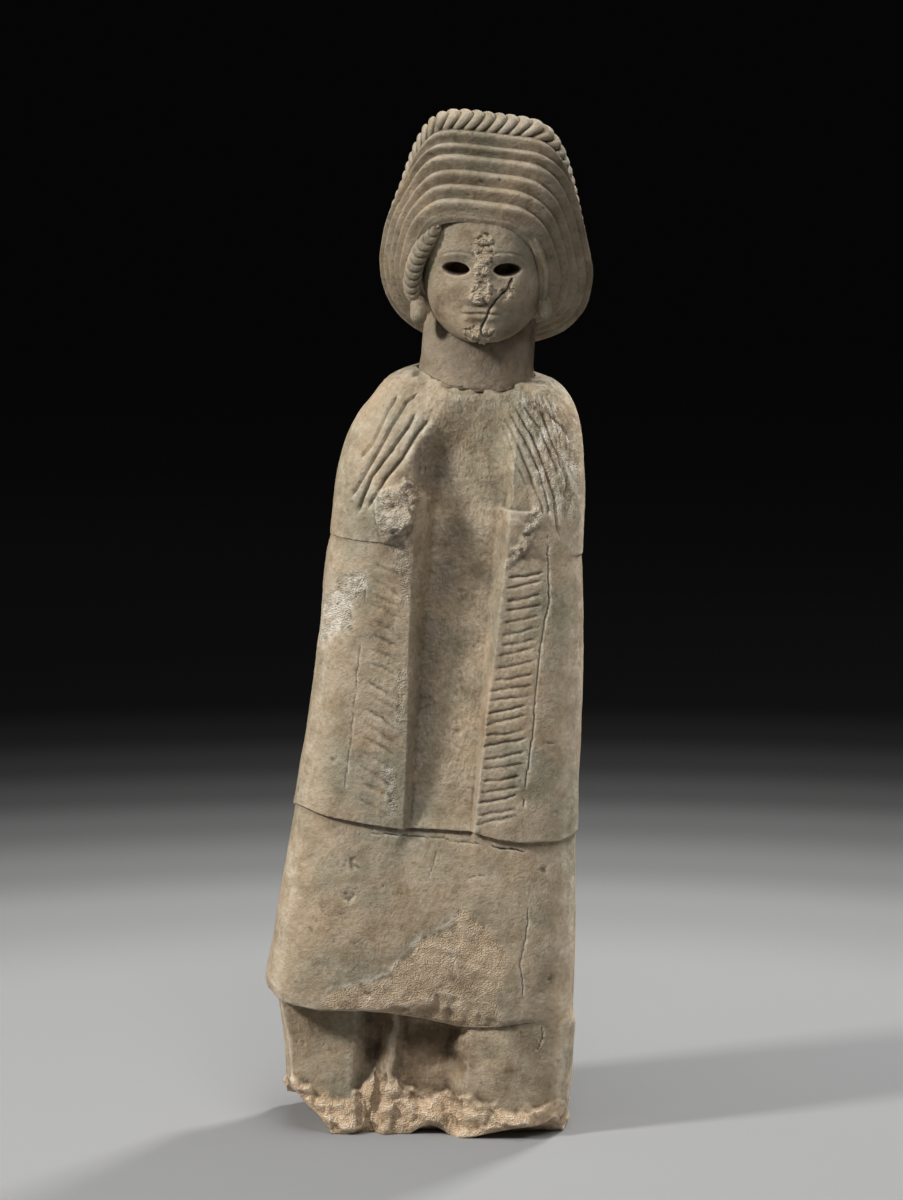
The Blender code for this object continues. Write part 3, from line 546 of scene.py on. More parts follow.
# Smaller cracks, each with its depth
CRACKS = (
    (((-49, 223.8), (-31.5, 223.2), (-17, 222.7), (7, 222.9), (18, 220.6), (30.3, 221.7), (36, 219.5)), 1.6),
    (((36, 222.5), (46.5, 219), (57, 219), (68.4, 217)), 2.4),
    (((72.1, 180), (71.5, 158), (70.5, 146), (69, 136.4), (72, 121), (73.2, 108.1)), 1.2),
    (((88.8, 90.6), (89.8, 81.7), (86.6, 72.6)), 1.2),
    (((4, 222), (1, 205), (-4, 190)), 0.45),
    (((25, 196), (36, 199), (46, 201)), 0.6),
    (((-88, 170), (-70, 160), (-58, 166)), 0.5),
    (((-64, 150), (-52, 143), (-44, 148)), 0.5),
    (((-63, 408), (-64.5, 350), (-66, 290), (-68, 246)), 0.7),
)
STUMP = (
    (-43.6, 482.3), (-30.7, 475.4), (-33, 455.6), (-34.7, 437.7), (-51.6, 436.7), (-60.4, 452.6),
    (-59.5, 467.5),
)
WRIST = ((52.5, 471), (60, 462), (54, 446), (46, 428), (37.5, 422), (39, 436), (49, 452))
LEFT_CHIPS = (
    ((-49.5, 436), (-34, 438), (-31, 392), (-37, 390), (-40, 412)),
    ((-36.5, 344), (-29.5, 344), (-28, 300), (-34, 302)),
    ((-42, 272), (-33, 275), (-28, 240), (-36, 240)),
)
WHITE_PATCH = (
    (-106, 384), (-92, 393), (-82, 407), (-66, 411), (-62, 400), (-72, 388), (-72, 368), (-82, 366),
    (-94, 357), (-108, 362),
)
WORN_SHOULDER = (
    (36, 545), (58.1, 550), (72, 530), (84, 500), (86, 462), (64, 462), (52, 490), (44, 515),
)
ROUGH_SKIRT = (
    (-27.4, 120.7), (-8.3, 147.3), (14, 159.3), (21.5, 176.1), (49.3, 155.4), (59.8, 141.4), (51.4, 109),
    (58, 94), (50, 84), (27, 79), (0, 84), (-25, 88), (-50, 89), (-74.2, 91.5), (-70.1, 106.4),
)
# Single chips: place across and up, size and depth
CHIPS = (
    (-58.1, 200.2, 5.5, 1.1), (-59.1, 176, 5, 1.2), (-39.3, 104.3, 4, 1.6), (-34, 186, 3.4, 0.6),
    (80, 205, 4, 0.7), (6, 402, 3, 0.6), (12, 300, 3.4, 0.6), (-84, 150, 3.4, 0.5),
)
VEIN = ((13.5, 146.8), (19, 142), (23.7, 128.3), (25.7, 121.1))
# How far the broken edge of the skirt's hem, and the break round the feet, reach up across the front
HEM_BREAK = (
    (-48, 0), (-30, 3), (-19, 7), (2, 15), (19, 21), (36, 13), (50, 7), (62, 4), (104, 2.5), (116, 0),
)
FEET_BREAK = (
    (-110, 45), (-96, 37), (-79, 30), (-56, 21), (-46, 24), (-31, 41), (-14, 39), (5, 30), (35, 33),
    (63, 27), (92, 30), (120, 34),
)
# Worn lines of both hems, by place across the front
CLOAK_HEM = (
    (-104, 238), (-88, 234), (-72.7, 231.8), (-48.8, 229.6), (-23.9, 227.8), (-14, 229), (24.9, 229.7),
    (45.8, 225.7), (61.3, 224.7), (90, 226.5), (104, 231),
)
SKIRT_HEM = (
    (-112, 99), (-104, 93.1), (-92.9, 91.6), (-77, 90), (-42, 92), (-19, 91.7), (1, 89), (27, 85),
    (56, 88), (75, 92.3), (105, 95), (112, 96),
)
RIGHT_CUTS = 23
LEFT_CUTS = 17
SCRATCHES = 70


def height_at(x, heights):
    """A height in millimetres at each place across, in millimetres too."""
    return np.interp(x, *np.array(heights, float).T)


def body_masks(points, outward):
    """Areas of the body's surface that differ in form and colour, each from 0 to 1."""
    mm = points * 1000
    x, y, z = split(mm)
    wobble = 3 * noise(mm, 16, 3) + 1.5 * noise(mm, 6, 4)
    xw, zw = x + wobble, z + 3 * noise(mm, 14, 5)
    front = smooth(0.15, 0.55, -outward[..., 1])
    facing = smooth(-0.25, 0.35, -outward[..., 1])
    break_line = height_at(xw, FEET_BREAK) + 5 * noise(mm, 9, 6)
    lower = np.interp(y, (-66, -40, 60), (0, -16, -14)) * (1 - front)
    above_skirt = smooth(HEM_Z * 1000 + 110, HEM_Z * 1000 + 150, z)
    return {
        "stump": area(xw, zw, STUMP, 2.5) * front,
        "wrist": area(xw, zw, WRIST, 2.5) * front,
        "chips": sum(area(x + 0.5 * wobble, z, chip, 1.8) for chip in LEFT_CHIPS) * facing,
        "white": area(xw, zw, WHITE_PATCH, 3) * facing,
        "shoulder": area(xw, zw, WORN_SHOULDER, 6) * facing,
        "skirt": area(xw, zw, ROUGH_SKIRT, 3) * front,
        "feet": smooth(4, -4, z - break_line - lower),
        "legs": smooth(HEM_Z * 1000 + 1, HEM_Z * 1000 - 6, z),
        "channel": front * (y > -58) * above_skirt * (np.abs(x - 4) < 34),
    }


def strokes(x, z, seed, count, strengths, width, fade, path_of):
    """Cuts of random strength along paths that are drawn one after another."""
    total = np.zeros(x.shape)
    rng = np.random.default_rng(seed)
    for k in range(count):
        path = path_of(k, rng.uniform)
        total = np.maximum(total, rng.uniform(*strengths) * line(x, z, path, width, fade))
    return total


def right_cut(k, draw):
    """Path of one of the crisp oblique cuts of the right lappet."""
    share = k / (RIGHT_CUTS - 1)
    inner = 38.6 - 9.4 * smooth(0, 0.75, share) + draw(-1.2, 1.2)
    outer = 65.5 - 5.5 * share + draw(-2, 0.6)
    low = 415.4 - 181.2 * share + draw(-1.1, 1.1)
    rise = (outer - inner) * math.tan(math.radians(draw(11.5, 18)))
    sag = draw(-0.9, 0.2)
    return (inner, low), ((inner + outer) / 2, low + rise / 2 + sag), (outer, low + rise)


def left_cut(k, draw):
    """Path of one of the faint worn cuts of the left lappet."""
    outer, inner = -60 + draw(-1, 4), -35.5 + draw(-1.5, 1.5) + 5 * k / LEFT_CUTS
    high = 420 - 10.6 * k + draw(-1.5, 1.5)
    fall = (inner - outer) * math.tan(math.radians(draw(18, 30)))
    return (outer, high), ((inner + outer) / 2, high - fall * 0.45), (inner, high - fall)


def scratch(_, draw):
    """Path of one of the short shallow scratches all over the front."""
    across, up = draw(-96, 84), draw(104, 420)
    turn, reach = draw(0, math.pi), draw(2.5, 8)
    return (across, up), (across + reach * math.cos(turn), up + reach * math.sin(turn))


def cut_front(depth, mm, xw, zw, front, facing):
    """Deepens the relief by the folds, the cuts of both lappets, the cracks and the chips."""
    x, _, z = split(mm)
    for paths, strengths, wobble, width, valley, slot, low, high in FOLDS:
        for path, strength in zip(paths, strengths):
            cut = line(x + wobble * (xw - x), z + wobble * (zw - z), path, width, 0.1)
            depth += facing * strength * (valley * cut**2 + slot * smooth(low, high, cut))

    cut = strokes(xw, zw, 11, RIGHT_CUTS, (0.75, 1.1), 2.1, 0.14, right_cut)
    worn = 1 - 0.45 * smooth(0, 0.8, noise(mm, 13, 41))
    depth += front * worn * (1.1 * cut + 0.6 * smooth(0.45, 1, cut))
    cut = strokes(xw, zw, 12, LEFT_CUTS, (0.5, 1), 2.6, 0.3, left_cut)
    depth += front * 1.35 * cut * (1 - 0.5 * smooth(-0.1, 0.6, noise(mm, 22, 42)))

    crack = line(xw, zw, CRACK_RIGHT, 1.1, 0.04) * smooth(-0.55, -0.2, noise(mm, 15, 43))
    depth += front * 2.2 * smooth(0.35, 0.8, crack)
    broken_off = smooth(-0.35, 0, noise(mm, 11, 44))
    for path, deep in CRACKS:
        depth += front * deep * broken_off * smooth(0.25, 0.8, line(xw, zw, path, 0.95, 0.1))
    chipped = 0.7 * noise(mm, 3.5, 58)
    for across, up, size, deep in CHIPS:
        reach = np.hypot(xw - across, zw - up) / size + chipped
        depth += front * deep * smooth(1, 0.2, reach)


def hollow_chest(depth, x, z, zw, front):
    """Adds the chest's hollow, the roll beside the broken hand and the right lappet's flat top."""
    left = np.interp(z, (488.7, 529.3), (-46.6, -24.8))
    floor = np.interp(z, (473.5, 533.3), (-14.4, 1.1))
    hollow = smooth(left, floor, x) * smooth(40, 24, x) * smooth(541, 516, z) * smooth(446, 484, z)
    depth += front * 3.4 * hollow
    depth -= front * 3 * bump(-25, 8, x) * smooth(475, 466, z) * smooth(380, 450, z)
    depth += (
        front * 2.2 * smooth(464, 465.6, zw) * smooth(510, 472, z) * smooth(24, 30, x) * smooth(57, 49, x)
    )


def along_streaks(x, y, z):
    """Places stretched along the slanting streaks of the worn shoulder."""
    return joined(x * 1.6 + z * 0.35, y, z * 0.5 - x * 0.15)


def wear_surface(depth, mm, xw, zw, ahead, masks):
    """Adds tool marks, fine wear, scratches, pits and the broken faces."""
    x, y, z = split(mm)
    front, facing = smooth(0.15, 0.45, ahead), smooth(-0.35, 0.15, ahead)
    grain = joined(x * 1.1 + z * 0.5, y * 0.8, z * 0.75 - x * 0.45)
    tooled = 0.5 * rough(grain, 5.5, 51, 3) + 0.4 * np.maximum(noise(grain, 2.8, 52), 0)
    depth += masks["channel"] * tooled
    depth += facing * 0.2 * rough(mm, 3.4, 53, 2)
    depth += front * 0.6 * strokes(xw, zw, 13, SCRATCHES, (0.25, 0.8), 1.1, 0.3, scratch)
    depth += facing * 0.35 * pits(mm, 4.2, 0.16, 56) * smooth(-0.1, 0.4, noise(mm, 24, 57))
    pitted = smooth(0, 0.5, noise(mm, 30, 55))
    depth += facing * 0.6 * pits(mm + 2 * noise(mm, 5, 59)[..., None], 9, 0.22, 54) * pitted

    broken = {
        "stump": lambda p: 2.2 * facets(p, 15, 61) + 1.2 * facets(p, 6, 62) + 0.4 * rough(p, 3, 78, 3) - 1.8,
        "wrist": lambda p: 1.5 * facets(p, 11, 63) + 0.8 * facets(p, 5, 64) - 0.8,
        "chips": lambda p: 0.3 + 0.7 * facets(p, 9, 65) + 0.5 * rough(p, 4, 66, 3),
        "white": lambda p: 1.1 + facets(p, 22, 67) + 0.4 * facets(p, 7, 68) + 0.4 * rough(p, 4, 79, 3),
        "skirt": lambda p: 1.1 + 0.5 * facets(p, 13, 70) + 0.8 * rough(p, 8, 72, 4),
        "feet": lambda p: 3.6 * facets(p, 34, 73) + 2 * facets(p, 15, 74) + 1.3 * rough(p, 7, 75, 4),
    }
    for name, relief in broken.items():
        depth += within(masks[name], mm, relief)
    depth -= masks["feet"] * smooth(0.45, 0.9, ahead) * 3.8
    depth += masks["shoulder"] * (0.3 + 1.1 * rough(along_streaks(x, y, z), 4, 69, 3))
    seam = facing * smooth(NECK_Z * 1000 - 32, NECK_Z * 1000 - 12, z) * (np.abs(x) < 62)
    depth += within(seam, mm, lambda p: 0.35 * rough(p, 6, 76, 3) + 0.3 * facets(p, 6, 77))


def body_relief(points, outward, masks):
    """How far the worn surface stands behind the plain form, in millimetres."""
    mm = points * 1000
    x, _, z = split(mm)
    ahead = -outward[..., 1]
    front, facing = smooth(0.15, 0.45, ahead), smooth(-0.35, 0.15, ahead)
    xw = x + 0.7 * noise(mm, 9, 21) + 0.35 * noise(mm, 3.5, 22)
    zw = z + 0.7 * noise(mm, 9, 23) + 0.35 * noise(mm, 3.5, 24)
    fine = 0.25 + 0.75 * facing
    depth = 0.55 * noise(mm, 55, 31) + 0.4 * noise(mm, 24, 32) + fine * 0.26 * rough(mm, 10, 33, 3)
    cut_front(depth, mm, xw, zw, front, facing)
    hollow_chest(depth, x, z, zw, front)
    wear_surface(depth, mm, xw, zw, ahead, masks)
    return depth


def outward_of(grid):
    """Outward directions of rows of points that close on themselves."""
    up = np.gradient(grid, axis=0)
    along = np.roll(grid, -1, axis=1) - np.roll(grid, 1, axis=1)
    out = np.cross(along, up)
    return out / np.maximum(np.linalg.norm(out, axis=-1, keepdims=True), 1e-12)


def ledge(low, high, count):
    """Rows between the top of one block and the foot of the next."""
    share = np.linspace(0, 1, count + 2)[1:-1, None, None]
    return low + (high - low) * share


def hem_shift(grid, heights, reach, level):
    """Moves the rows near a hem up or down to the worn line of its edge."""
    x, y = grid[..., 0], grid[..., 1]
    target = height_at(x * 1000, heights) / 1000 - level
    behind = 0.0016 * np.sin(70 * x + 1) + 0.0008 * np.sin(210 * x)
    front = smooth(0, -0.055, y)
    near = 1 - smooth(0, reach, np.abs(grid[..., 2] - level))
    grid[..., 2] += near * (front * target + (1 - front) * behind)


def soften(grid, weight, rounds):
    """Rounds the edges that run along the rows, where weight says."""
    for _ in range(rounds):
        middle = grid.copy()
        middle[1:-1] = (grid[:-2] + grid[2:]) / 2
        grid += weight[..., None] * 0.5 * (middle - grid)


def body_blocks():
    """The surfaces of the four blocks, with the broken sole and the broken hem worked in."""
    blocks = [leg_stations(), skirt_stations(), cloak_stations(), cape_stations()]
    legs, skirt, *others = [ring_of(rows) for rows in body_rows(blocks, BODY_ROWS)]
    foot = lean(legs[..., 0], legs[..., 1], 0.02)
    sole = (break_height(foot[..., 0], foot[..., 1]) + legs[..., 0] * LEAN_SINE) / LEAN_COSINE
    legs[..., 2] = sole + (legs[..., 2] / HEM_Z) * (HEM_Z - sole)
    broken = height_at(skirt[..., 0] * 1000, HEM_BREAK) / 1000
    broken = broken * (1 + 0.22 * noise(skirt * 1000, 7, 83)) - (skirt[..., 2] - HEM_Z)
    skirt[..., 1] += 0.42 * np.maximum(broken, 0) * smooth(-0.03, -0.045, skirt[..., 1])
    return [legs, skirt, *others]


def body_grid():
    """Rows of points over the whole body, from the broken sole to the neck."""
    skins = body_blocks()
    parts, edges = [skins[0]], []
    for skin in skins[1:]:
        edges.append(sum(len(part) for part in parts))
        parts += [ledge(parts[-1][-1], skin[0], LEDGE_ROWS), skin]
    grid = np.concatenate(parts)
    hem_shift(grid, SKIRT_HEM, 0.03, HEM_Z)
    hem_shift(grid, CLOAK_HEM, 0.022, CLOAK_Z)
    x, y = grid[..., 0], grid[..., 1]
    from_ledge = [np.abs(np.arange(len(grid)) - edge - LEDGE_ROWS / 2)[:, None] for edge in edges]
    weight = np.maximum.reduce([1 - smooth(4, 8, rows) for rows in from_ledge])
    soften(grid, weight, 5)
    # The sleeve's edge is worn away across the front, all but its left end
    worn = smooth(-0.05, -0.036, x) * smooth(0.087, 0.078, x) * smooth(0, -0.01, y)
    soften(grid, worn * smooth(26, 14, from_ledge[-1]), 90)
    # The hem's step is worn flush at the right edge
    flush = smooth(0.088, 0.1, x) * smooth(30, 14, from_ledge[0])
    soften(grid, flush * smooth(0.035, 0, y), 90)
    return grid


def closed_mesh(grid, low_rings, high_rings):
    """Points and faces of a skin of rows, with rings of points inwards over both of its ends."""
    rows = [*low_rings[::-1], *grid, *high_rings]
    points = np.concatenate([row.reshape(-1, 3) for row in rows])
    count = grid.shape[1]
    full = sum(len(row) == count for row in rows)
    first = 1 if len(rows[0]) == 1 else 0
    here, there = np.arange(count), (np.arange(count) + 1) % count
    start = first + count * np.arange(full - 1)[:, None]
    a, b = start + here, start + there
    quads = joined(a, b, b + count, a + count).reshape(-1, 4)
    last = first + count * (full - 1)
    bottom = joined(there + first, here + first, np.zeros(count, int))
    top = joined(here + last, there + last, np.full(count, len(points) - 1))
    return points, quads, np.concatenate([bottom, top])


def placed(name, data):
    """A new object of the scene with the given data."""
    made = bpy.data.objects.new(name, data)
    bpy.context.scene.collection.objects.link(made)
    return made


def mesh_from(name, points, quads, tris):
    """A new object from points and faces of four and three corners."""
    mesh = bpy.data.meshes.new(name)
    mesh.vertices.add(len(points))
    mesh.vertices.foreach_set("co", points.astype(np.float32).ravel())
    corners = np.concatenate([quads.ravel(), tris.ravel()]).astype(np.int32)
    mesh.loops.add(len(corners))
    mesh.loops.foreach_set("vertex_index", corners)
    starts = np.concatenate([4 * np.arange(len(quads)), 4 * len(quads) + 3 * np.arange(len(tris))])
    mesh.polygons.add(len(starts))
    mesh.polygons.foreach_set("loop_start", starts.astype(np.int32))
    mesh.update(calc_edges=True)
    mesh.validate()
    return placed(name, mesh)


def capped(name, grid):
    """A new object from rows of points, with a fan of faces over both of its ends."""
    low, high = (grid[i].mean(axis=0)[None, :] for i in (0, -1))
    return mesh_from(name, *closed_mesh(grid, [low], [high]))


def inwards(ring, shares, height):
    """Smaller and smaller rings inside a ring, and its middle, at the given height for each place."""
    middle = ring.mean(axis=0)
    rings = []
    for share in shares:
        inner = middle + (ring - middle) * share
        inner[:, 2] = height(inner[:, 0], inner[:, 1])
        rings.append(inner)
    point = middle[None, :].copy()
    point[:, 2] = height(point[:, 0], point[:, 1])
    return [*rings, point]


def applied(made):
    """The object with its modifiers worked into its mesh."""
    bpy.context.view_layer.update()
    depsgraph = bpy.context.evaluated_depsgraph_get()
    mesh = bpy.data.meshes.new_from_object(made.evaluated_get(depsgraph))
    made.modifiers.clear()
    made.data = mesh
    return made


def clear_slivers(mesh):
    """Dissolves edges without length and triangles without area."""
    work = bmesh.new()
    work.from_mesh(mesh)
    bmesh.ops.dissolve_degenerate(work, dist=SLIVER, edges=work.edges)
    bmesh.ops.triangulate(work, faces=work.faces)
    work.to_mesh(mesh)
    work.free()


def thin_out(made, triangles):
    """Brings a dense mesh down to a number of triangles, most of them where the relief is."""
    made.data.calc_loop_triangles()
    have = len(made.data.loop_triangles)
    modifier = made.modifiers.new("thin_out", "DECIMATE")
    modifier.ratio = min(1, triangles / have)
    return applied(made)


def per_vertex(mesh, name):
    """What a mesh holds for each vertex under that name: co or normal."""
    out = np.zeros(len(mesh.vertices) * 3, np.float32)
    mesh.vertices.foreach_get(name, out)
    return out.reshape(-1, 3).astype(float)


def hollows(mesh, rounds):
    """How far each vertex lies under the smoothed surface around it, in millimetres."""
    points, normals = per_vertex(mesh, "co"), per_vertex(mesh, "normal")
    ends = np.zeros(len(mesh.edges) * 2, np.int32)
    mesh.edges.foreach_get("vertices", ends)
    here = np.concatenate([ends[::2], ends[1::2]])
    there = np.concatenate([ends[1::2], ends[::2]])
    count = np.maximum(np.bincount(here, minlength=len(points)), 1)[:, None]
    calm = points.copy()
    for _ in range(rounds):
        total = joined(*(np.bincount(here, calm[there, k], len(points)) for k in range(3)))
        calm = 0.4 * calm + 0.6 * total / count
    return ((calm - points) * normals).sum(axis=-1) * 1000


def paint(mesh, name, values):
    """Stores a colour for each vertex."""
    attribute = mesh.color_attributes.new(name, "FLOAT_COLOR", "POINT")
    values = np.concatenate([values, np.ones((len(values), 1))], axis=-1)
    attribute.data.foreach_set("color", values.astype(np.float32).ravel())


def underside(x, y):
    """Height of the broken sole in the world, with its finer roughness."""
    place = joined(x, y, 0 * x)
    return break_height(x, y) + 0.0012 * np.maximum(rough(place, 0.011, 81, 3), 0)


def make_body():
    """The body as one mesh, carved, worn and leaned."""
    grid = body_grid()
    grid[-1, :, 2] = neck_break(grid[-1, :, 0], grid[-1, :, 1]) - BREAK_GAP / 2
    outward = outward_of(grid)
    depth = body_relief(grid, outward, body_masks(grid, outward))
    index = np.arange(len(grid))
    ragged = np.maximum(0.9 + 3 * noise(grid * 1000, 9, 82), 0) * smooth(0, -0.02, grid[..., 1])
    joint = smooth(len(grid) - 26, len(grid) - 2, index)[:, None]
    depth = (depth * (1 - joint) + ragged * joint) * smooth(-1, 6, index)[:, None]
    grid = grid - outward * depth[..., None] / 1000
    top = inwards(grid[-1], END_RINGS, lambda x, y: neck_break(x, y) - BREAK_GAP / 2)
    world = lean(*split(grid))
    world[..., 2] = np.maximum(world[..., 2], 0)
    low = inwards(world[0], np.linspace(0.985, 0.1, UNDERSIDE_RINGS), underside)
    high = [lean(*ring.T) for ring in top]
    return thin_out(mesh_from("carved_body", *closed_mesh(world, low, high)), PIECE_TRIANGLES)


# The head's form, as in the CAD model

def turned(a, b, angle):
    """Both coordinates of a point after a turn in their plane."""
    return a * math.cos(angle) - b * math.sin(angle), b * math.cos(angle) + a * math.sin(angle)


def place_head(points):
    """Rolls and turns points of the head on the neck, and leans them with the figure."""
    x, y, z = split(points)
    x = x + 0.0045 * smooth(-0.03, -0.065, x) * smooth(HAIRLINE_Z - 0.01, HAIRLINE_Z + 0.03, z)
    x, z = turned(x, z - CHIN_Z, HEAD_ROLL)
    x, y = turned(x, y, -HEAD_TURN)
    return lean(x + HEAD_SIDE, y, z + CHIN_Z)


def unplace_head(points):
    """The same points back in the upright frame of the head."""
    x, y, z = split(unlean(points))
    x, y = turned(x - HEAD_SIDE, y, HEAD_TURN)
    x, z = turned(x, z - CHIN_Z, -HEAD_ROLL)
    return joined(x, y, z + CHIN_Z)


def superellipse(angle, square):
    """Sine and cosine of an angle, squared up by the exponent."""
    sine, cosine = np.sin(angle), np.cos(angle)
    return np.sign(sine) * np.abs(sine) ** (2 / square), np.sign(cosine) * np.abs(cosine) ** (2 / square)


def turban_ring(share, angle):
    """Ring of the turban from the hairline (0) to the plait (1), with its outward directions."""
    sine, cosine = np.sin(angle), np.cos(angle)
    hair = FACE_WIDTH + HAIR_SIZE * np.where(sine > 0, HAIR_RIGHT, 1)
    top = HAIRLINE_Z + TURBAN_RISE * share
    width = hair + (TURBAN_WIDTH - hair) * np.minimum(share * 1.25, 1) ** 0.9
    waist = TURBAN_WAIST - 0.133 * TURBAN_RISE * (1 - share)
    bottom = CHIN_Z - NAPE_DROP + HAIR_RISE * (1 - share)
    corner = np.where(sine > 0, 4 + 4 * share, 4 + 0.3 * share)
    across, up = superellipse(angle, np.where(cosine > 0, corner, 2.6))
    z = waist + np.where(up > 0, top - waist, waist - bottom) * up
    taper = HAIR_TAPER + (TURBAN_TAPER - HAIR_TAPER) * share
    x = (width - taper * np.maximum(up, 0) ** 1.2) * across
    y = TURBAN_FRONT * (0.057 * share - 1) + (top - z) / TURBAN_SLOPE
    z = z - BAND_SKEW * x * (0.5 + 0.5 * cosine)
    return joined(x, y, z), joined(sine, -np.maximum(cosine, 0), np.minimum(cosine, 0))


def plait_frame(angle):
    """Middle line of the plait ring, its outward directions, and the way the turban is stacked."""
    ring = turban_ring(1, angle)[0]
    stack = np.array([0, 1, 1 / TURBAN_SLOPE]) / math.hypot(1, 1 / TURBAN_SLOPE)
    uphill = np.array([0, -1 / TURBAN_SLOPE, 1]) / math.hypot(1, 1 / TURBAN_SLOPE)
    out = np.outer(np.sin(angle), [1, 0, 0]) + np.outer(np.cos(angle), uphill)
    ring[:, 0] *= 1 - PLAIT_SIZE / 2 / TURBAN_WIDTH
    ring += np.outer(np.maximum(-np.cos(angle), 0), uphill) * PLAIT_SIZE * 0.35
    return ring + stack * PLAIT_SIZE * 0.45, out, stack


def fine_angles():
    """Angles round a squared ring, crowded where its points lie far apart."""
    t = np.linspace(0, 1, 600, endpoint=False)
    quarter = math.pi / 2 * t**4 / (t**4 + (1 - t) ** 4)
    return np.concatenate([quarter + k * math.pi / 2 for k in range(4)] + [[2 * math.pi]])


def even_angles(count):
    """Angles whose points lie evenly along the turban's rings."""
    fine = fine_angles()
    run = run_along(turban_ring(0.6, fine)[0])
    return np.interp(np.linspace(0, run[-1], count, endpoint=False), run, fine)


def turban_grid():
    """Rows of points over the turban: the tuck behind the face, the rolls, and the domed back."""
    angle = even_angles(TURBAN_COLUMNS)
    core, flat, stack = plait_frame(angle)
    first, out = turban_ring(0, angle)
    middle = first.mean(axis=0)
    lock = HAIR_SIZE * smooth(0.35, 0.75, (1 - np.cos(angle)) / 2)[:, None]
    rows = []
    anchors = [
        middle + (first - middle) * 0.76 + stack * HAIR_TUCK,
        middle + (first - middle) * 0.84 - stack * lock * 0.55,
        middle + (first - middle) * 0.93 - stack * lock * 0.45,
        first - out * BAND_STEP * 0.68,
    ]
    for low, high, count in zip(anchors[:-1], anchors[1:], (5, 7, 7)):
        rows += [low + (high - low) * share for share in np.linspace(0, 1, count, endpoint=False)]
    for low, high in zip(BAND_EDGES[:-1], BAND_EDGES[1:]):
        for step in np.linspace(0, 0.98, BAND_ROWS):
            ring, out = turban_ring(low + (high - low) * step, angle)
            roll = 1 - abs(2 * step**1.9 - 1) ** 2.2
            proud = 1.45 + 0.35 * np.abs(out[:, :1]) + 0.55 * np.maximum(out[:, :1], 0)
            rows.append(ring + out * BAND_STEP * (proud * roll - 0.55))
    rows.append(core + flat * PLAIT_SIZE * 0.15)
    centre = core.mean(axis=0)
    domes = [(0, 1, 0), (0.3, 0.93, 0.38), (0.62, 0.68, 0.77), (0.86, 0.33, 0.96), (1, 0.04, 1)]
    for share in np.linspace(0, 1, DOME_ROWS)[1:]:
        size, dome = curve_through(domes, np.array([share]))[0]
        back = stack * (PLAIT_SIZE / 4 * min(share * 4, 1) + BACK_DOME * dome)
        rows.append(centre + (core - centre) * size + back)
    return np.array(rows)


def make_turban():
    """The turban with its six rolls, worn and pitted."""
    grid = turban_grid()
    mm = grid * 1000
    depth = 0.34 * noise(mm, 22, 101) + 0.2 * rough(mm, 7, 102, 3) + 0.12 * rough(mm, 2.8, 103, 2)
    depth += 0.5 * pits(mm, 4.5, 0.12, 106)
    depth += 0.8 * pits(mm, 9, 0.25, 104) * smooth(0, 0.5, noise(mm, 26, 105))
    return capped("turban_form", place_head(grid - outward_of(grid) * depth[..., None] / 1000))


def strand_rows(turn, strands, run, fine):
    """One line of points round the plait ring, at a turn about its middle line."""
    strand = np.arange(strands * STRAND_STEPS) / STRAND_STEPS
    shear = -0.95 * math.cos(turn)
    at = (strand - shear) / strands % 1 * run[-1]
    core, flat, stack = plait_frame(np.interp(at, run, fine))
    core[:, 0] += 0.0016 * flat[:, 0]
    core += 0.002 * smooth(0.1, 0.7, -flat[:, 2])[:, None] * flat
    across = np.abs((strand % 1) * 2 - 1)
    size = 1 + 0.1 * np.sin(strand // 1 * 2.4) + 0.05 * np.sin(strand // 1 * 5.1)
    teeth = 1.6 + 0.9 * smooth(0.02, 0.06, core[:, 0])
    notch = PLAIT_NOTCH * teeth * (1 - np.sqrt(np.maximum(1 - across**2.4, 0)))
    radius = (PLAIT_SIZE / 2 * (1 + 0.05 * (size - 1)) - notch)[:, None]
    return core + radius * (math.cos(turn) * flat + math.sin(turn) * stack)


def make_plait():
    """The plait as a ring of oblique rounded strands."""
    fine = fine_angles()
    run = run_along(plait_frame(fine)[0])
    strands = round(run[-1] / PLAIT_PITCH)
    turns = np.linspace(0, 2 * math.pi, PLAIT_SIDES, endpoint=False)
    grid = np.array([strand_rows(turn, strands, run, fine) for turn in turns])
    mm = grid * 1000
    chipped = np.maximum(facets(mm, 6, 112), 0) * smooth(0.1, 0.7, noise(mm, 18, 113))
    worn = 0.2 * rough(mm, 5, 111, 3) + 0.5 * chipped
    outward = unit(grid - grid.mean(axis=0, keepdims=True))
    grid = place_head(grid - outward * worn[..., None] / 1000)
    count = grid.shape[1]
    points = grid.reshape(-1, 3)
    start = count * np.arange(PLAIT_SIDES)[:, None]
    a = (start + np.arange(count)).ravel()
    b = (start + (np.arange(count) + 1) % count).ravel()
    quads = joined(a, b, (b + count) % len(points), (a + count) % len(points))
    return mesh_from("plait_form", points, quads, np.zeros((0, 3), int))


# The face, of a calm ideal form in thirds. Millimetres across and above the chin
THIRD = FACE_HEIGHT * 1000 / 3
EYE_UP = 1.72 * THIRD
MOUTH_UP = 0.66 * THIRD
NOSE_UP = THIRD
BROW_UP = 2.02 * THIRD
FACE_CRACK = ((24, 46.5), (19, 38), (11, 30), (5.5, 20), (1.5, 12), (0.5, 2))
NOSE_SCAR = (
    (-6.5, 72), (-2, 77), (7, 76), (10, 66), (6, 58), (7, 44), (9, 30), (2, 25.5), (-7, 28), (-6, 42),
    (-5, 58),
)
CHIN_SCAR = ((-13, 9), (-4, 12), (2, 8), (9, 9), (10, 2), (2, -3), (-10, 1))
CHEEK_SCAR = ((12, 36), (20, 42), (24, 39), (20, 31), (14, 27))


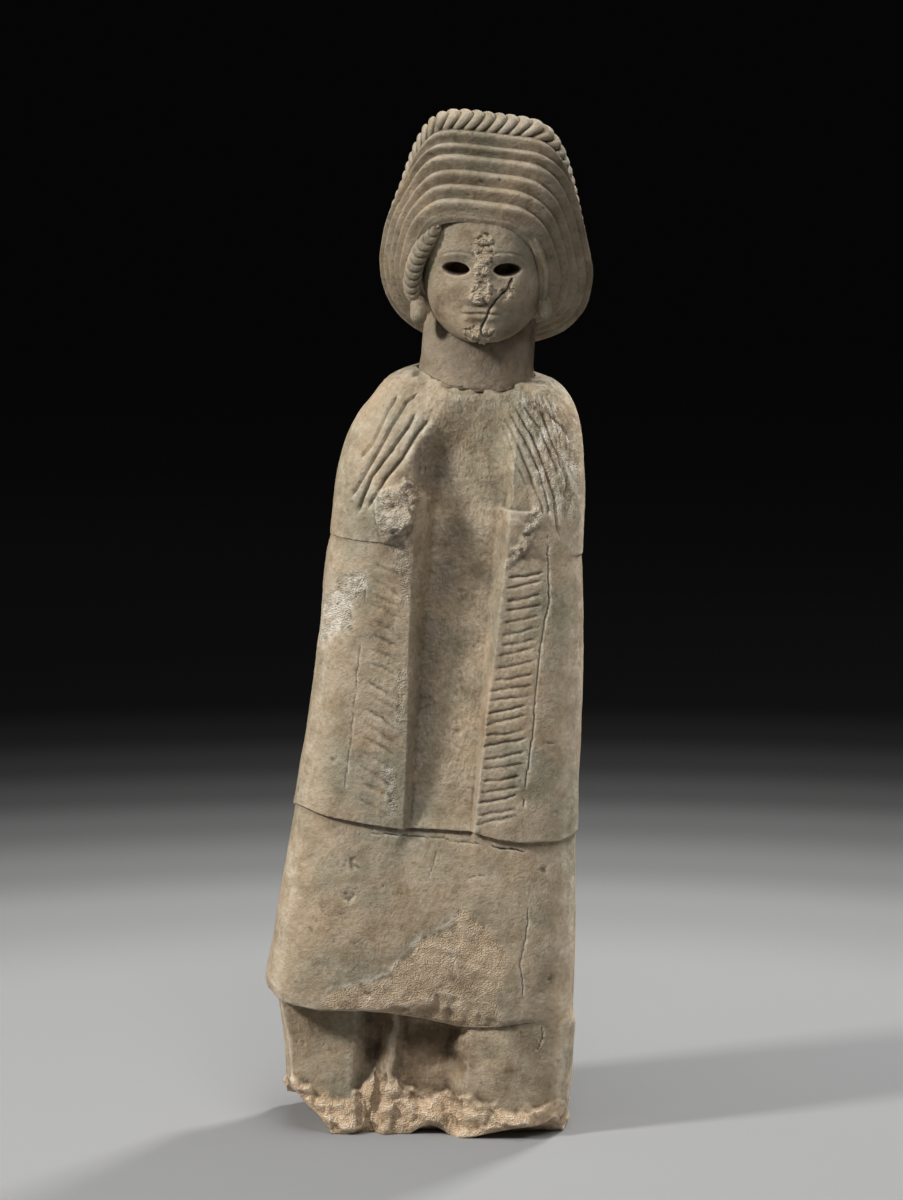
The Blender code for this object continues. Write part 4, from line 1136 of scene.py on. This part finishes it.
def face_relief(x, z):
    """How far the face's features stand proud of its rounded front, in millimetres."""
    def spot(cx, cz, rx, rz, height):
        return height * np.exp(-(((x - cx) / rx) ** 2) - ((z - cz) / rz) ** 2)

    relief = spot(0, 0.2 * THIRD, 11, 7, 2.4)
    relief = relief + spot(0, 0.42 * THIRD, 9, 3.5, -0.9)
    down = np.clip((BROW_UP - z) / (BROW_UP - NOSE_UP), 0, 1)
    nose = (1.6 + 6.5 * down) * np.exp(-((x / (4 + 3.2 * down)) ** 2)) * smooth(NOSE_UP - 5, NOSE_UP + 1.5, z)
    nose = nose * smooth(BROW_UP + 9, BROW_UP - 3, z)
    relief = relief + np.minimum(nose, 2.6 + 0.5 * down)
    for side in (-1, 1):
        relief = relief + spot(side * 6.5, NOSE_UP + 2.5, 3.2, 3.2, 1.3)
        relief = relief + spot(side * 25, 1.12 * THIRD, 13, 12, 1.5)
        relief = relief - spot(side * EYE_SIDE * 1000, EYE_UP, 14, 8, 2.3)
        relief = relief + spot(side * 18, BROW_UP + 1.5, 13, 4.5, 1)
        relief = relief - spot(side * 15, MOUTH_UP, 4, 6, 0.7)
    line_up = MOUTH_UP + 0.25 * np.cos(x / 4.2)
    wide = smooth(14.5, 9, np.abs(x))
    relief = relief + wide * 1.5 * np.exp(-(((z - line_up - 2.2) / 2.4) ** 2))
    relief = relief + wide * 1.7 * np.exp(-(((z - line_up + 2.8) / 2.8) ** 2))
    relief = relief - smooth(15.5, 11, np.abs(x)) * 0.9 * np.exp(-(((z - line_up) / 0.9) ** 2))
    relief = relief - 0.6 * np.exp(-((x / 2.2) ** 2)) * bump((NOSE_UP + MOUTH_UP) / 2 + 1, 5, z)
    return relief


def socket(x, z):
    """The two empty almond sockets, 1 on the floor of each."""
    across = (np.abs(x) - EYE_SIDE * 1000) / (EYE_WIDTH * 500 + 0.6)
    up = (z - EYE_UP - 0.06 * (np.abs(x) - EYE_SIDE * 1000)) / (EYE_HEIGHT * 500 + 0.3)
    lid = np.abs(across) ** 2.1 + np.abs(up) ** 1.8
    return smooth(1.12, 0.72, lid)


def brow_line(x, z):
    """The incised line of each brow."""
    arch = BROW_UP + 3.4 - 0.016 * (np.abs(x) - 17) ** 2
    reach = smooth(3.5, 8, np.abs(x)) * smooth(32, 26, np.abs(x))
    return reach * np.clip(1 - np.abs(z - arch) / 1.5, 0, 1)


def scar_places(mm):
    """Places across the face and above the chin, made uneven for the borders of its scars."""
    x, _, z = split(mm)
    return x + 2 * noise(mm, 7, 131), z - CHIN_Z * 1000 + 2 * noise(mm, 7, 132)


def face_grid():
    """Rows of points over the plain rounded head under the turban."""
    w, d, tall = FACE_WIDTH, FACE_FRONT, FACE_HEIGHT
    stations = [
        (CHIN_Z - 0.001, 0.3 * w, 0.82 * d, 2),
        (CHIN_Z + 0.02 * tall, 0.45 * w, 0.9 * d, 2.1),
        (CHIN_Z + 0.1 * tall, 0.66 * w, 0.94 * d, 2.2),
        (CHIN_Z + 0.22 * tall, 0.84 * w, 0.955 * d, 2.3),
        (CHIN_Z + 0.38 * tall, 0.95 * w, 0.97 * d, 2.4),
        (CHIN_Z + 0.6 * tall, w, 0.985 * d, 2.5),
        (CHIN_Z + 0.85 * tall, 0.99 * w, d, 2.5),
        (CHIN_Z + 1.05 * tall, 0.92 * w, 0.98 * d, 2.4),
        (CHIN_Z + 1.25 * tall, 0.8 * w, 0.9 * d, 2.2),
    ]
    levels = np.linspace(stations[0][0], HAIRLINE_Z + 0.004, FACE_ROWS)
    levels = np.concatenate([levels, [stations[-1][0]]])
    angle = np.concatenate([np.linspace(-92, 92, FACE_COLUMNS), np.linspace(92, 268, 24)[1:-1]])
    rows = []
    for z, (width, front, square) in zip(levels, curve_through(stations, levels)):
        across, forward = superellipse(np.radians(angle), square)
        y = -FACE_MIDDLE - forward * np.where(forward > 0, front - FACE_MIDDLE, FACE_BACK)
        rows.append(joined(width * across, y, np.full(len(y), z)))
    return np.array(rows)


def make_face():
    """The face with its features, its empty eye sockets, its scars and its crack."""
    grid = face_grid()
    out = outward_of(grid)
    mm = grid * 1000
    x, up = mm[..., 0], mm[..., 2] - CHIN_Z * 1000
    front = smooth(0.05, 0.45, -out[..., 1])
    proud = face_relief(x, up) * front
    proud -= 10 * socket(x, up) * front + 0.7 * brow_line(x, up) * front
    xw, zw = scar_places(mm)
    scar = area(xw, zw, NOSE_SCAR, 1.6) + area(xw, zw, CHIN_SCAR, 1.6) + area(xw, zw, CHEEK_SCAR, 1.4)
    scar = np.clip(scar, 0, 1)
    skin = front * (1 - socket(x, up))
    proud -= skin * within(scar, mm, lambda p: 0.5 + facets(p, 6, 133) + 0.5 * facets(p, 2.8, 134))
    crack = line(x + 0.9 * noise(mm, 5, 136), up + 0.9 * noise(mm, 5, 137), FACE_CRACK, 1.5, 0.08)
    proud -= skin * 3.2 * smooth(0.2, 0.8, crack)
    proud -= 0.25 * noise(mm, 18, 138) + 0.1 * rough(mm, 5, 139, 3)
    proud -= 0.6 * pits(mm, 7, 0.2, 140) * smooth(0, 0.5, noise(mm, 20, 141)) * front
    return capped("face_form", place_head(grid + out * proud[..., None] / 1000))


def tube(name, path, radii, relief):
    """A closed rope-like form along a path, with its relief worked out for each place on it."""
    path = np.array(path, float) / 1000
    radii = np.array(radii, float) / 1000
    run = run_along(path)
    at = np.linspace(0, run[-1], LOCK_ROWS)
    values = curve_through(np.column_stack([run, path, radii]), at)
    core, radius = values[:, :3], values[:, 3:]
    ends = np.sqrt(np.clip(1 - (2 * at / run[-1] - 1) ** 8, 0.02, 1))[:, None]
    along = unit(np.gradient(core, axis=0))
    side = unit(np.cross(along, np.array([0, 1, 0])))
    other = np.cross(side, along)
    turns = np.linspace(0, 2 * math.pi, LOCK_SIDES, endpoint=False)
    spokes = [math.cos(turn) * side + math.sin(turn) * other for turn in turns]
    grid = np.stack([core + radius * ends * spoke for spoke in spokes], axis=1)
    depth = relief(at[:, None] * 1000, turns[None, :]) + 0.12 * rough(grid * 1000, 4, 151, 3)
    grid = place_head(grid - unit(grid - core[:, None, :]) * depth[..., None] / 1000)
    a, b = LOCK_ROWS // 2, LOCK_SIDES // 2
    here = grid[a, 0]
    if np.cross(grid[a, 1] - here, grid[a + 1, 0] - here).dot(here - grid[a, b]) < 0:
        grid = grid[:, ::-1]
    return capped(name, grid)


def notched(at, turn):
    """Depth between the strands of the braided lock."""
    strand = (at / 6.2 + 0.8 * np.sin(turn)) % 1
    return 1.7 * np.abs(2 * strand - 1) ** 3


def grooved(at, turn):
    """Depth of the three shallow grooves along the plain lock."""
    return 0.7 * (1 + np.sin(3 * turn + at / 40))


def even(at, turn):
    """No depth anywhere."""
    return 0 * at * turn


# The plaited lock beside the left cheek, the plain one beside the right, and two ear lobes:
# each with its path (across, back from the axis and above the chin), thickness along it and relief
LOCKS = {
    "left_lock": (
        ((-30, -62, 84), (-37, -58.5, 74), (-44.5, -52.5, 63), (-49.5, -46, 49), (-51, -40, 37),
         (-48.5, -35, 25)),
        (3.2, 5.6, 6.8, 6.8, 6.4, 5),
        notched,
    ),
    "right_lock": (
        ((30, -62, 83), (36.5, -57, 73), (41.5, -50.5, 61), (44, -44, 48), (44, -38, 36), (42, -34, 26)),
        (2.6, 3.8, 4.4, 4.6, 4.4, 3.8),
        grooved,
    ),
    "left_lobe": (((-46, -34, 11), (-46, -37, 17), (-47.5, -35.5, 31)), (0.75 * 6.2, 6.2, 0.75 * 6.2), even),
    "right_lobe": (((45, -33, 15), (45.5, -35, 21), (44, -33.5, 33)), (0.75 * 5.2, 5.2, 0.75 * 5.2), even),
}


def make_lock(name):
    """One of the locks or ear lobes."""
    path, radii, relief = LOCKS[name]
    return tube(name, [(x, y, z + CHIN_Z * 1000) for x, y, z in path], radii, relief)


def make_neck():
    """The neck, broken round its foot: the head's other forms are joined to it."""
    ring = ring_of(body_rows([cape_stations()], (3,))[0][-1:])[0]
    tall = CHIN_RISE + NECK_BURIED
    sizes = [(0, 1), (0.067, 0.978), (0.2, 0.96), (0.4, 0.958), (1, 0.935)]
    base = neck_break(ring[:, 0], ring[:, 1]) + BREAK_GAP / 2 - NECK_Z
    rows = []
    for share in np.linspace(0, 1, NECK_ROWS) ** 1.3:
        size = curve_through(sizes, np.array([share]))[0, 0]
        row = ring.copy()
        row[:, 0] = NECK_SIDE + (ring[:, 0] - NECK_SIDE) * size
        row[:, 1] = ring[:, 1] * size
        row[:, 2] = NECK_Z + tall * share + base * (1 - smooth(0, 0.83, share))
        rows.append(row)
    grid = np.array(rows)
    mm = grid * 1000
    depth = 0.3 * noise(mm, 26, 161) + 0.07 * rough(mm, 6, 162, 3)
    edge = smooth(4, 0.4, mm[..., 2] - mm[:1, :, 2]) * smooth(-0.35, 0.45, noise(mm, 8, 163))
    depth += edge * (2.3 + facets(mm, 6, 164))
    grid = grid - outward_of(grid) * depth[..., None] / 1000
    low = inwards(grid[0], END_RINGS, lambda x, y: neck_break(x, y) + BREAK_GAP / 2)
    world = lean(*split(grid))
    low = [lean(*row.T) for row in low]
    return mesh_from("carved_head", *closed_mesh(world, low, [world[-1].mean(axis=0)[None, :]]))


def make_head():
    """The head as one mesh: neck, face, turban, plait, locks and lobes joined."""
    head = make_neck()
    forms = [make_face(), make_turban(), make_plait(), *(make_lock(name) for name in LOCKS)]
    for form in forms:
        modifier = head.modifiers.new(form.name, "BOOLEAN")
        modifier.operation = "UNION"
        modifier.solver = "MANIFOLD"
        modifier.object = form
    applied(head)
    clear_slivers(head.data)
    for form in forms:
        bpy.data.objects.remove(form)
    return thin_out(head, PIECE_TRIANGLES)


# Colours of the stone, linear
BEIGE = (0.516, 0.421, 0.301)
WARM = (0.53, 0.405, 0.27)
GREEN_GREY = (0.378, 0.34, 0.245)
BROWN = (0.29, 0.2, 0.12)
# Dark brown of the feet block's middle: brown stone, made darker still as painted shade under the hem
LEG_BROWN_AND_SHADE = tuple(0.8 * channel for channel in BROWN)
CREAM = (0.5, 0.405, 0.3)
CHALK = (0.92, 0.85, 0.72)
BREAK = (0.78, 0.565, 0.37)
DARK = (0.1, 0.075, 0.05)
SOCKET = (0.1, 0.035, 0.02)
GREY_STAIN = (0.66, 0.63, 0.56)
GRAIN_STAIN = (0.6, 0.53, 0.43)
SPECK = (0.45, 0.38, 0.3)


def layered(colour, *layers):
    """A colour with other colours over it, each with how much of it covers every point."""
    for tint, amount in layers:
        colour = colour + (np.array(tint) - colour) * np.clip(amount, 0, 1)[:, None]
    return colour


def shaded(colour, amount):
    """A colour darkened by an amount at every point."""
    return colour * (1 - amount)[:, None]


def front_box(x, z, across, up):
    """1 well inside a rectangle on the front and 0 outside it."""
    sides = smooth(across[0] - 1, across[0] + 1, x) * smooth(across[1] + 1, across[1] - 1, x)
    return sides * smooth(up[0] - 2, up[0] + 2, z) * smooth(up[1] + 1, up[1] - 1, z)


def body_layers(mm, masks):
    """The body's stains, breaks and chalky patches over its ground colour, in their order."""
    x, y, z = mm.T
    panel = front_box(x, z, (24, 50), (440, 465)) * smooth(-0.3, 0.2, noise(mm, 12, 208))
    stains = smooth(0, 0.55, rough(mm, 17, 209, 4)) * (masks["feet"] + masks["skirt"])
    edge = masks["skirt"] * (1 - masks["skirt"]) * 4 * smooth(30, 0, x)
    streak = smooth(24, 8, np.abs((z - 378) - 0.75 * (x + 84)))
    chalky = (0.45 + 0.85 * streak) * masks["white"] + 0.3 * masks["chips"]
    chalky = chalky + 0.4 * masks["stump"] + 0.4 * masks["wrist"]
    chalky = chalky + 0.9 * edge * smooth(92, 100, z)
    streaky = smooth(-0.15, 0.35, rough(along_streaks(x, y, z), 7, 205, 4))
    return (
        (GREEN_GREY, 0.95 * smooth(-0.2, 0.4, rough(mm, 60, 201, 4))),
        (WARM, 0.8 * smooth(0, 0.5, rough(mm, 45, 202, 4))),
        (BROWN, 0.55 * smooth(0.25, 0.7, rough(mm, 26, 206, 4))),
        (BEIGE, 0.2 * masks["channel"]),
        # Painted light: the left side warmer in colour, standing in for a warm rim light on the left edge
        (WARM, 0.5 * smooth(-60, -100, x)),
        # Brown stone of the feet block's middle, darkened further as painted shade behind the hem
        (LEG_BROWN_AND_SHADE, 0.92 * masks["legs"] * smooth(-42, -30, x) * smooth(44, 30, x)),
        (BROWN, 0.35 * masks["legs"] * smooth(-0.3, 0.4, rough(mm, 14, 207, 4))),
        (BROWN, 0.45 * masks["shoulder"] * smooth(0, 0.5, noise(mm, 14, 203))),
        (BROWN, 0.4 * panel),
        (BREAK, 0.85 * masks["feet"]),
        (BREAK, 0.5 * masks["skirt"]),
        (BROWN, 0.7 * stains),
        (CHALK, chalky * smooth(-0.5, 0.2, rough(mm, 5, 204, 3))),
        (CHALK, 0.9 * masks["shoulder"] * streaky),
        (CHALK, 0.7 * line(x, z, VEIN, 1.8, 0.2) * (y < -50)),
    )


def painted_front_shade(x, y, z):
    """Painted shade: the shadow cast by the left lappet across the channel, and the shade on the facet above
    the broken hand, darkening the colour there.
    """
    lee = np.interp(z, (240, 300, 380, 400, 440, 470), (-14, -15, -14, -8, 0, 4))
    # Painted shadow: a band in the lee of the left lappet, where its cast shadow falls on the channel
    lee_shadow = 0.34 * bump(0, 17, x - lee) * smooth(225, 290, z) * smooth(478, 440, z)
    left, floor = np.interp(z, (488, 530), (-44, -22)), np.interp(z, (473, 533), (-8, 10))
    facet = smooth(left, left + 6, x) * smooth(floor, floor - 8, x)
    facet = facet * smooth(545, 530, z) * smooth(462, 485, z)
    return (lee_shadow + 0.34 * facet) * (y < -30)


def tone_and_painted_side_light(x, z, outward, masks):
    """The front is a little darker than the brighter places: the break round the feet, the skirt's rough
    patch, the upper chest, the whitish worn right part above the skirt and the left end of the feet block are
    brighter in tone, and surfaces facing right (much) and left (a little) are brighter as painted light from
    the sides.
    """
    bright = np.maximum(2.6 * masks["feet"], 1.2 * masks["skirt"])
    bright = np.maximum(bright, masks["channel"] * smooth(430, 470, z))
    # Painted light: surfaces facing right, and on the left those facing left, brighter as if lit from the
    # sides
    right = smooth(40, 70, x) * (0.08 * smooth(240, 300, z) + 0.85 * smooth(0.25, 0.8, outward[:, 0]))
    left = smooth(-40, -70, x) * (0.1 * smooth(0.15, 0.75, -outward[:, 0]) + 0.18 * masks["legs"])
    return 0.86 + 0.14 * bright + right + left


def paint_body(body):
    """Stores the body's colour, with its painted shade and painted light, and where its stone is gritty and
    tooled.
    """
    mesh = body.data
    points, outward = unlean(per_vertex(mesh, "co")), per_vertex(mesh, "normal")
    mm = points * 1000
    x, y, z = mm.T
    masks = body_masks(points, outward)
    colour = layered(np.tile(np.array(BEIGE), (len(mm), 1)), *body_layers(mm, masks))
    hollow, broad = hollows(mesh, 4), hollows(mesh, 30)
    broken = np.clip(sum(masks[name] for name in ("stump", "wrist", "chips", "white", "skirt", "feet")), 0, 1)
    calm = np.maximum(broken, 0.9 * masks["channel"])
    # Painted shade: darker in hollows and creases, and across broad dips, less so on broken faces and in the
    # channel
    colour = shaded(colour, (0.5 - 0.28 * calm) * smooth(0.02, 0.35, hollow))
    colour = shaded(colour, (0.3 - 0.18 * calm) * smooth(0.1, 1.2, broad))
    # Painted shade: the left lappet's cast shadow in the channel, and the shaded facet above the broken hand
    colour = shaded(colour, painted_front_shade(x, y, z))
    colour = layered(colour, (CHALK, 0.35 * smooth(-0.05, -0.35, hollow)))
    # Brighter tone in places, and painted light on the surfaces that face the sides
    colour = colour * tone_and_painted_side_light(x, z, outward, masks)[:, None]
    joint = np.hypot(x / 1000 - NECK_SIDE, y / 1000 * NECK_WIDTH / NECK_DEPTH) - NECK_WIDTH
    colour = layered(colour, (DARK, 0.9 * smooth(0.0016, 0.0002, joint) * (z > 530)))
    paint(mesh, "tone", colour)
    grit = np.maximum(broken, 0.6 * masks["shoulder"])
    paint(mesh, "grit", joined(grit, masks["channel"], 0 * grit))


def paint_head(head):
    """Stores the head's colour, with painted shade in its hollows, and where its stone is gritty."""
    mesh = head.data
    world = per_vertex(mesh, "co")
    mm = unplace_head(world) * 1000
    x, y, z = mm.T
    up = z - CHIN_Z * 1000
    neck = smooth(3, -4, up) * smooth(62, 52, np.hypot(x, y))
    on_face = smooth(-46, -52, y) * (np.abs(x) < 44) * smooth(86, 80, up) * smooth(-6, 0, up)
    xw, zw = scar_places(mm)
    scar = sum(area(xw, zw, corners, 1.8) for corners in (NOSE_SCAR, CHIN_SCAR, CHEEK_SCAR))
    scar = np.clip(scar, 0, 1) * on_face * (y < -50)
    inside = socket(x, up) * (y > -62) * (y < -40) * (np.abs(x) < 32)
    colour = layered(
        np.tile(np.array(BEIGE), (len(mm), 1)),
        (GREEN_GREY, 0.85 * smooth(-0.2, 0.45, rough(mm, 40, 211, 4))),
        (WARM, 0.6 * smooth(0, 0.5, rough(mm, 32, 212, 4))),
        (BROWN, 0.5 * smooth(0.1, 0.6, rough(mm, 18, 215, 4))),
        (BROWN, 0.45 * smooth(40, 75, x) * smooth(-0.3, 0.3, rough(mm, 20, 213, 3))),
        (CREAM, 0.92 * neck),
        (WARM, 0.8 * scar),
        (CHALK, 0.35 * scar * smooth(0, 0.5, rough(mm, 4, 214, 3))),
        (SOCKET, 0.9 * inside),
    )
    hollow, broad = hollows(mesh, 4), hollows(mesh, 30)
    # Painted shade: darker in hollows and creases, and across broad dips
    colour = shaded(colour, 0.5 * smooth(0.02, 0.35, hollow))
    colour = shaded(colour, 0.25 * smooth(0.1, 1, broad))
    colour = layered(colour, (CHALK, 0.3 * smooth(-0.06, -0.4, hollow)))
    colour = colour * (0.72 + 0.25 * scar)[:, None]
    straight = unlean(world)
    above = straight[:, 2] - neck_break(straight[:, 0], straight[:, 1])
    paint(mesh, "tone", layered(colour, (DARK, 0.85 * smooth(0.0018, 0.0004, above))))
    paint(mesh, "grit", joined(scar, 0 * scar, 0 * scar))


def new_material(name):
    """A material, with its node tree and the shader that it starts with."""
    material = bpy.data.materials.new(name)
    material.use_nodes = True
    return material, material.node_tree, material.node_tree.nodes["Principled BSDF"]


def feed(tree, node, inputs):
    """Sets a node's inputs, given by name or number, or links them where an output is given."""
    for key, value in inputs.items():
        if isinstance(value, bpy.types.NodeSocket):
            tree.links.new(value, node.inputs[key])
        else:
            node.inputs[key].default_value = value


def add_node(tree, kind, inputs, **settings):
    """The outputs of a new node with the given settings and inputs."""
    node = tree.nodes.new("ShaderNode" + kind)
    for name, value in settings.items():
        setattr(node, name, value)
    feed(tree, node, inputs)
    return node.outputs


def stone(name, roughness):
    """Weathered stone: the painted tone, broken up by stains and grains, with a fine worn surface."""
    material, tree, shader = new_material(name)
    place = add_node(tree, "TexCoord", {})["Object"]
    tone = add_node(tree, "VertexColor", {}, layer_name="tone")["Color"]
    masks = add_node(tree, "VertexColor", {}, layer_name="grit")["Color"]
    grit, tooled, _ = add_node(tree, "SeparateColor", {0: masks})

    def maths(operation, *values):
        return add_node(tree, "Math", dict(enumerate((*values, 0)[:3])), operation=operation)[0]

    def pattern(size, detail, uneven=0.55, distortion=0):
        fineness = {"Scale": 1 / size, "Detail": detail, "Roughness": uneven, "Distortion": distortion}
        return add_node(tree, "TexNoise", {"Vector": place, **fineness})["Fac"]

    def stretch(value, low, high, to_low=0, to_high=1):
        ends = {"From Min": low, "From Max": high, "To Min": to_low, "To Max": to_high}
        return add_node(tree, "MapRange", {"Value": value, **ends})["Result"]

    def blend(kind, amount, below, colour):
        inputs = {"Factor": amount, "A": below, "B": (*colour, 1)}
        return add_node(tree, "Mix", inputs, data_type="RGBA", blend_type=kind)["Result"]

    colour = blend("MULTIPLY", stretch(pattern(0.018, 6), 0.42, 0.66, 0, 0.8), tone, GREY_STAIN)
    colour = blend("MIX", stretch(pattern(0.03, 8, 0.6, 0.6), 0.5, 0.66, 0, 0.45), colour, WARM)
    colour = blend("MULTIPLY", stretch(pattern(0.0035, 5, 0.65), 0.5, 0.66, 0, 0.42), colour, GRAIN_STAIN)
    crystals = add_node(tree, "TexVoronoi", {"Vector": place, "Scale": 900}, feature="F1")["Distance"]
    bright = maths("MULTIPLY", stretch(crystals, 0.3, 0.12), maths("MULTIPLY", grit, 0.55))
    colour = blend("MIX", bright, colour, CHALK)
    colour = blend("MULTIPLY", stretch(pattern(0.0012, 3, 0.7), 0.6, 0.74, 0, 0.5), colour, SPECK)

    slant = {"Rotation": (0, math.radians(35), 0), "Scale": (1, 1, 0.45)}
    slanted = add_node(tree, "Mapping", {"Vector": place, **slant})["Vector"]
    scratched = add_node(tree, "TexNoise", {"Vector": slanted, "Scale": 480, "Detail": 4})["Fac"]
    scratches = maths("MULTIPLY", scratched, maths("MULTIPLY_ADD", tooled, 0.9, 0.25))
    fine = maths("ADD", pattern(0.0016, 5, 0.7), maths("MULTIPLY", pattern(0.006, 5), 1.8))
    grains = maths("MULTIPLY", maths("MULTIPLY", crystals, grit), 1.6)
    height = maths("ADD", maths("ADD", fine, scratches), grains)
    surface = add_node(tree, "Bump", {"Height": height, "Strength": 0.85, "Distance": 0.0011})
    feed(tree, shader, {
        "Base Color": colour,
        "Roughness": stretch(pattern(0.012, 4), 0.3, 0.7, roughness - 0.1, roughness + 0.08),
        "Specular IOR Level": 0.35,
        "Normal": surface["Normal"],
    })
    return material


def finish_piece(piece, node_name, material):
    piece.data.materials.clear()
    piece.data.materials.append(material)
    piece.data.shade_smooth()
    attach(piece, "root")
    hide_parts(node_name)


FLOOR = (0.3, 0.3015, 0.304)
FLOOR_RADIUS = 12
# Painted light: how bright the floor's colour is at each distance from the middle, as a share, darkened
# outward as if its light fell away into the dark
FLOOR_PAINTED_FALLOFF = (
    (0.6, 1), (0.92, 0.79), (1.15, 0.515), (1.41, 0.29), (1.62, 0.144), (1.85, 0.064), (2.11, 0.0245),
    (2.4, 0.009), (2.96, 0.009), (3.64, 0.012), (5.6, 0.028),
)
# Painted light: the floor's own faint glow
FLOOR_PAINTED_GLOW = 0.0016


def make_floor():
    """A wide pale floor whose colour is darkened outward as a painted falloff of light, with a faint painted
    glow of its own.
    """
    bpy.ops.mesh.primitive_circle_add(vertices=128, radius=FLOOR_RADIUS, fill_type="NGON", location=(0, 0, 0))
    floor = bpy.context.object
    floor.name = "studio_floor"
    material, tree, shader = new_material("floor_paper")
    furthest = FLOOR_PAINTED_FALLOFF[-1][0]
    place = add_node(tree, "TexCoord", {})["Object"]
    distance = add_node(tree, "VectorMath", {0: place}, operation="LENGTH")["Value"]
    share = add_node(tree, "Math", {0: distance, 1: furthest}, operation="DIVIDE")["Value"]
    # Painted light: the ramp darkens the floor's colour with distance from the middle
    ramp = tree.nodes.new("ShaderNodeValToRGB")
    ramp.color_ramp.interpolation = "EASE"
    while len(ramp.color_ramp.elements) < len(FLOOR_PAINTED_FALLOFF):
        ramp.color_ramp.elements.new(0.5)
    for stop, (away, bright) in zip(ramp.color_ramp.elements, FLOOR_PAINTED_FALLOFF):
        stop.position = away / furthest
        stop.color = (*(channel * bright for channel in FLOOR), 1)
    feed(tree, ramp, {"Fac": share})
    # Painted light: the floor glows faintly of itself, though it is no lamp
    feed(tree, shader, {
        "Base Color": ramp.outputs["Color"],
        "Roughness": 0.8,
        "Specular IOR Level": 0,
        "Emission Color": (1, 1, 1, 1),
        "Emission Strength": FLOOR_PAINTED_GLOW,
    })
    floor.data.materials.append(material)


def area_light(name, place, aim, size, power, colour):
    """A square lamp that shines from its place at the aim."""
    data = bpy.data.lights.new(name, "AREA")
    data.shape = "RECTANGLE"
    data.size, data.size_y = size, size
    data.energy = power
    data.color = colour
    lamp = placed(name, data)
    lamp.location = place
    away = np.array(place) - np.array(aim)
    flat = math.hypot(away[0], away[1])
    lamp.rotation_euler = (math.atan2(flat, away[2]), 0, math.atan2(away[1], away[0]) + math.pi / 2)


def around(azimuth, elevation, distance, aim):
    """A place at that distance from the aim: azimuth to the left of the camera's side, elevation up."""
    a, e = math.radians(azimuth), math.radians(elevation)
    return (
        aim[0] - distance * math.cos(e) * math.sin(a),
        aim[1] - distance * math.cos(e) * math.cos(a),
        aim[2] + distance * math.sin(e),
    )


LIGHT_AIM = (0, 0, 0.38)
# Lamps round the figure: azimuth, elevation, distance, size, power and colour
LAMPS = {
    "key": (62, 33, 3.6, 0.45, 118, (1, 0.98, 0.95)),
    "rim": (-148, 38, 3.4, 0.5, 100, (1, 0.99, 0.97)),
    "fill": (-10, 48, 3.6, 1.3, 42, (0.98, 0.99, 1)),
}
DARKNESS = 0.0016


def make_lights():
    """Three lamps round the figure, one above it, and the dark of the studio."""
    for name, (azimuth, elevation, distance, *rest) in LAMPS.items():
        area_light(name, around(azimuth, elevation, distance, LIGHT_AIM), LIGHT_AIM, *rest)
    area_light("top", (0, -0.6, 4), (0, 0, 0), 2.2, 62, (1, 1, 1))
    world = bpy.data.worlds.new("studio")
    world.use_nodes = True
    feed(world.node_tree, world.node_tree.nodes["Background"], {"Color": (DARKNESS, DARKNESS, DARKNESS, 1)})
    bpy.context.scene.world = world
    bpy.context.scene.view_settings.view_transform = "Standard"


def make_camera():
    """The camera of the photograph: far off, as high as the head and tilted down a little."""
    data = bpy.data.cameras.new("camera")
    data.sensor_fit = "VERTICAL"
    data.sensor_height = CAMERA_SENSOR
    data.lens = CAMERA_LENS
    data.clip_end = 50
    camera = placed("camera", data)
    camera.location = (CAMERA_X, -CAMERA_AWAY, CAMERA_Z)
    camera.rotation_euler = (math.pi / 2 - CAMERA_TILT, 0, 0)
    bpy.context.scene.camera = camera


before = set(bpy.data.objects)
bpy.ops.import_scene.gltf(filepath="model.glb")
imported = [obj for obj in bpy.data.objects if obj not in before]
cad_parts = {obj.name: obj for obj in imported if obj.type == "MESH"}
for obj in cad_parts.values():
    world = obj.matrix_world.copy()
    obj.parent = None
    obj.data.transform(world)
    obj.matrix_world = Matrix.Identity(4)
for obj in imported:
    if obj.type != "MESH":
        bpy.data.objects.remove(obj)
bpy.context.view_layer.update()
make_camera()
make_lights()
make_floor()
body = make_body()
paint_body(body)
finish_piece(body, "body", stone("weathered_body_stone", 0.8))
head = make_head()
paint_head(head)
finish_piece(head, "head", stone("weathered_head_stone", 0.78))
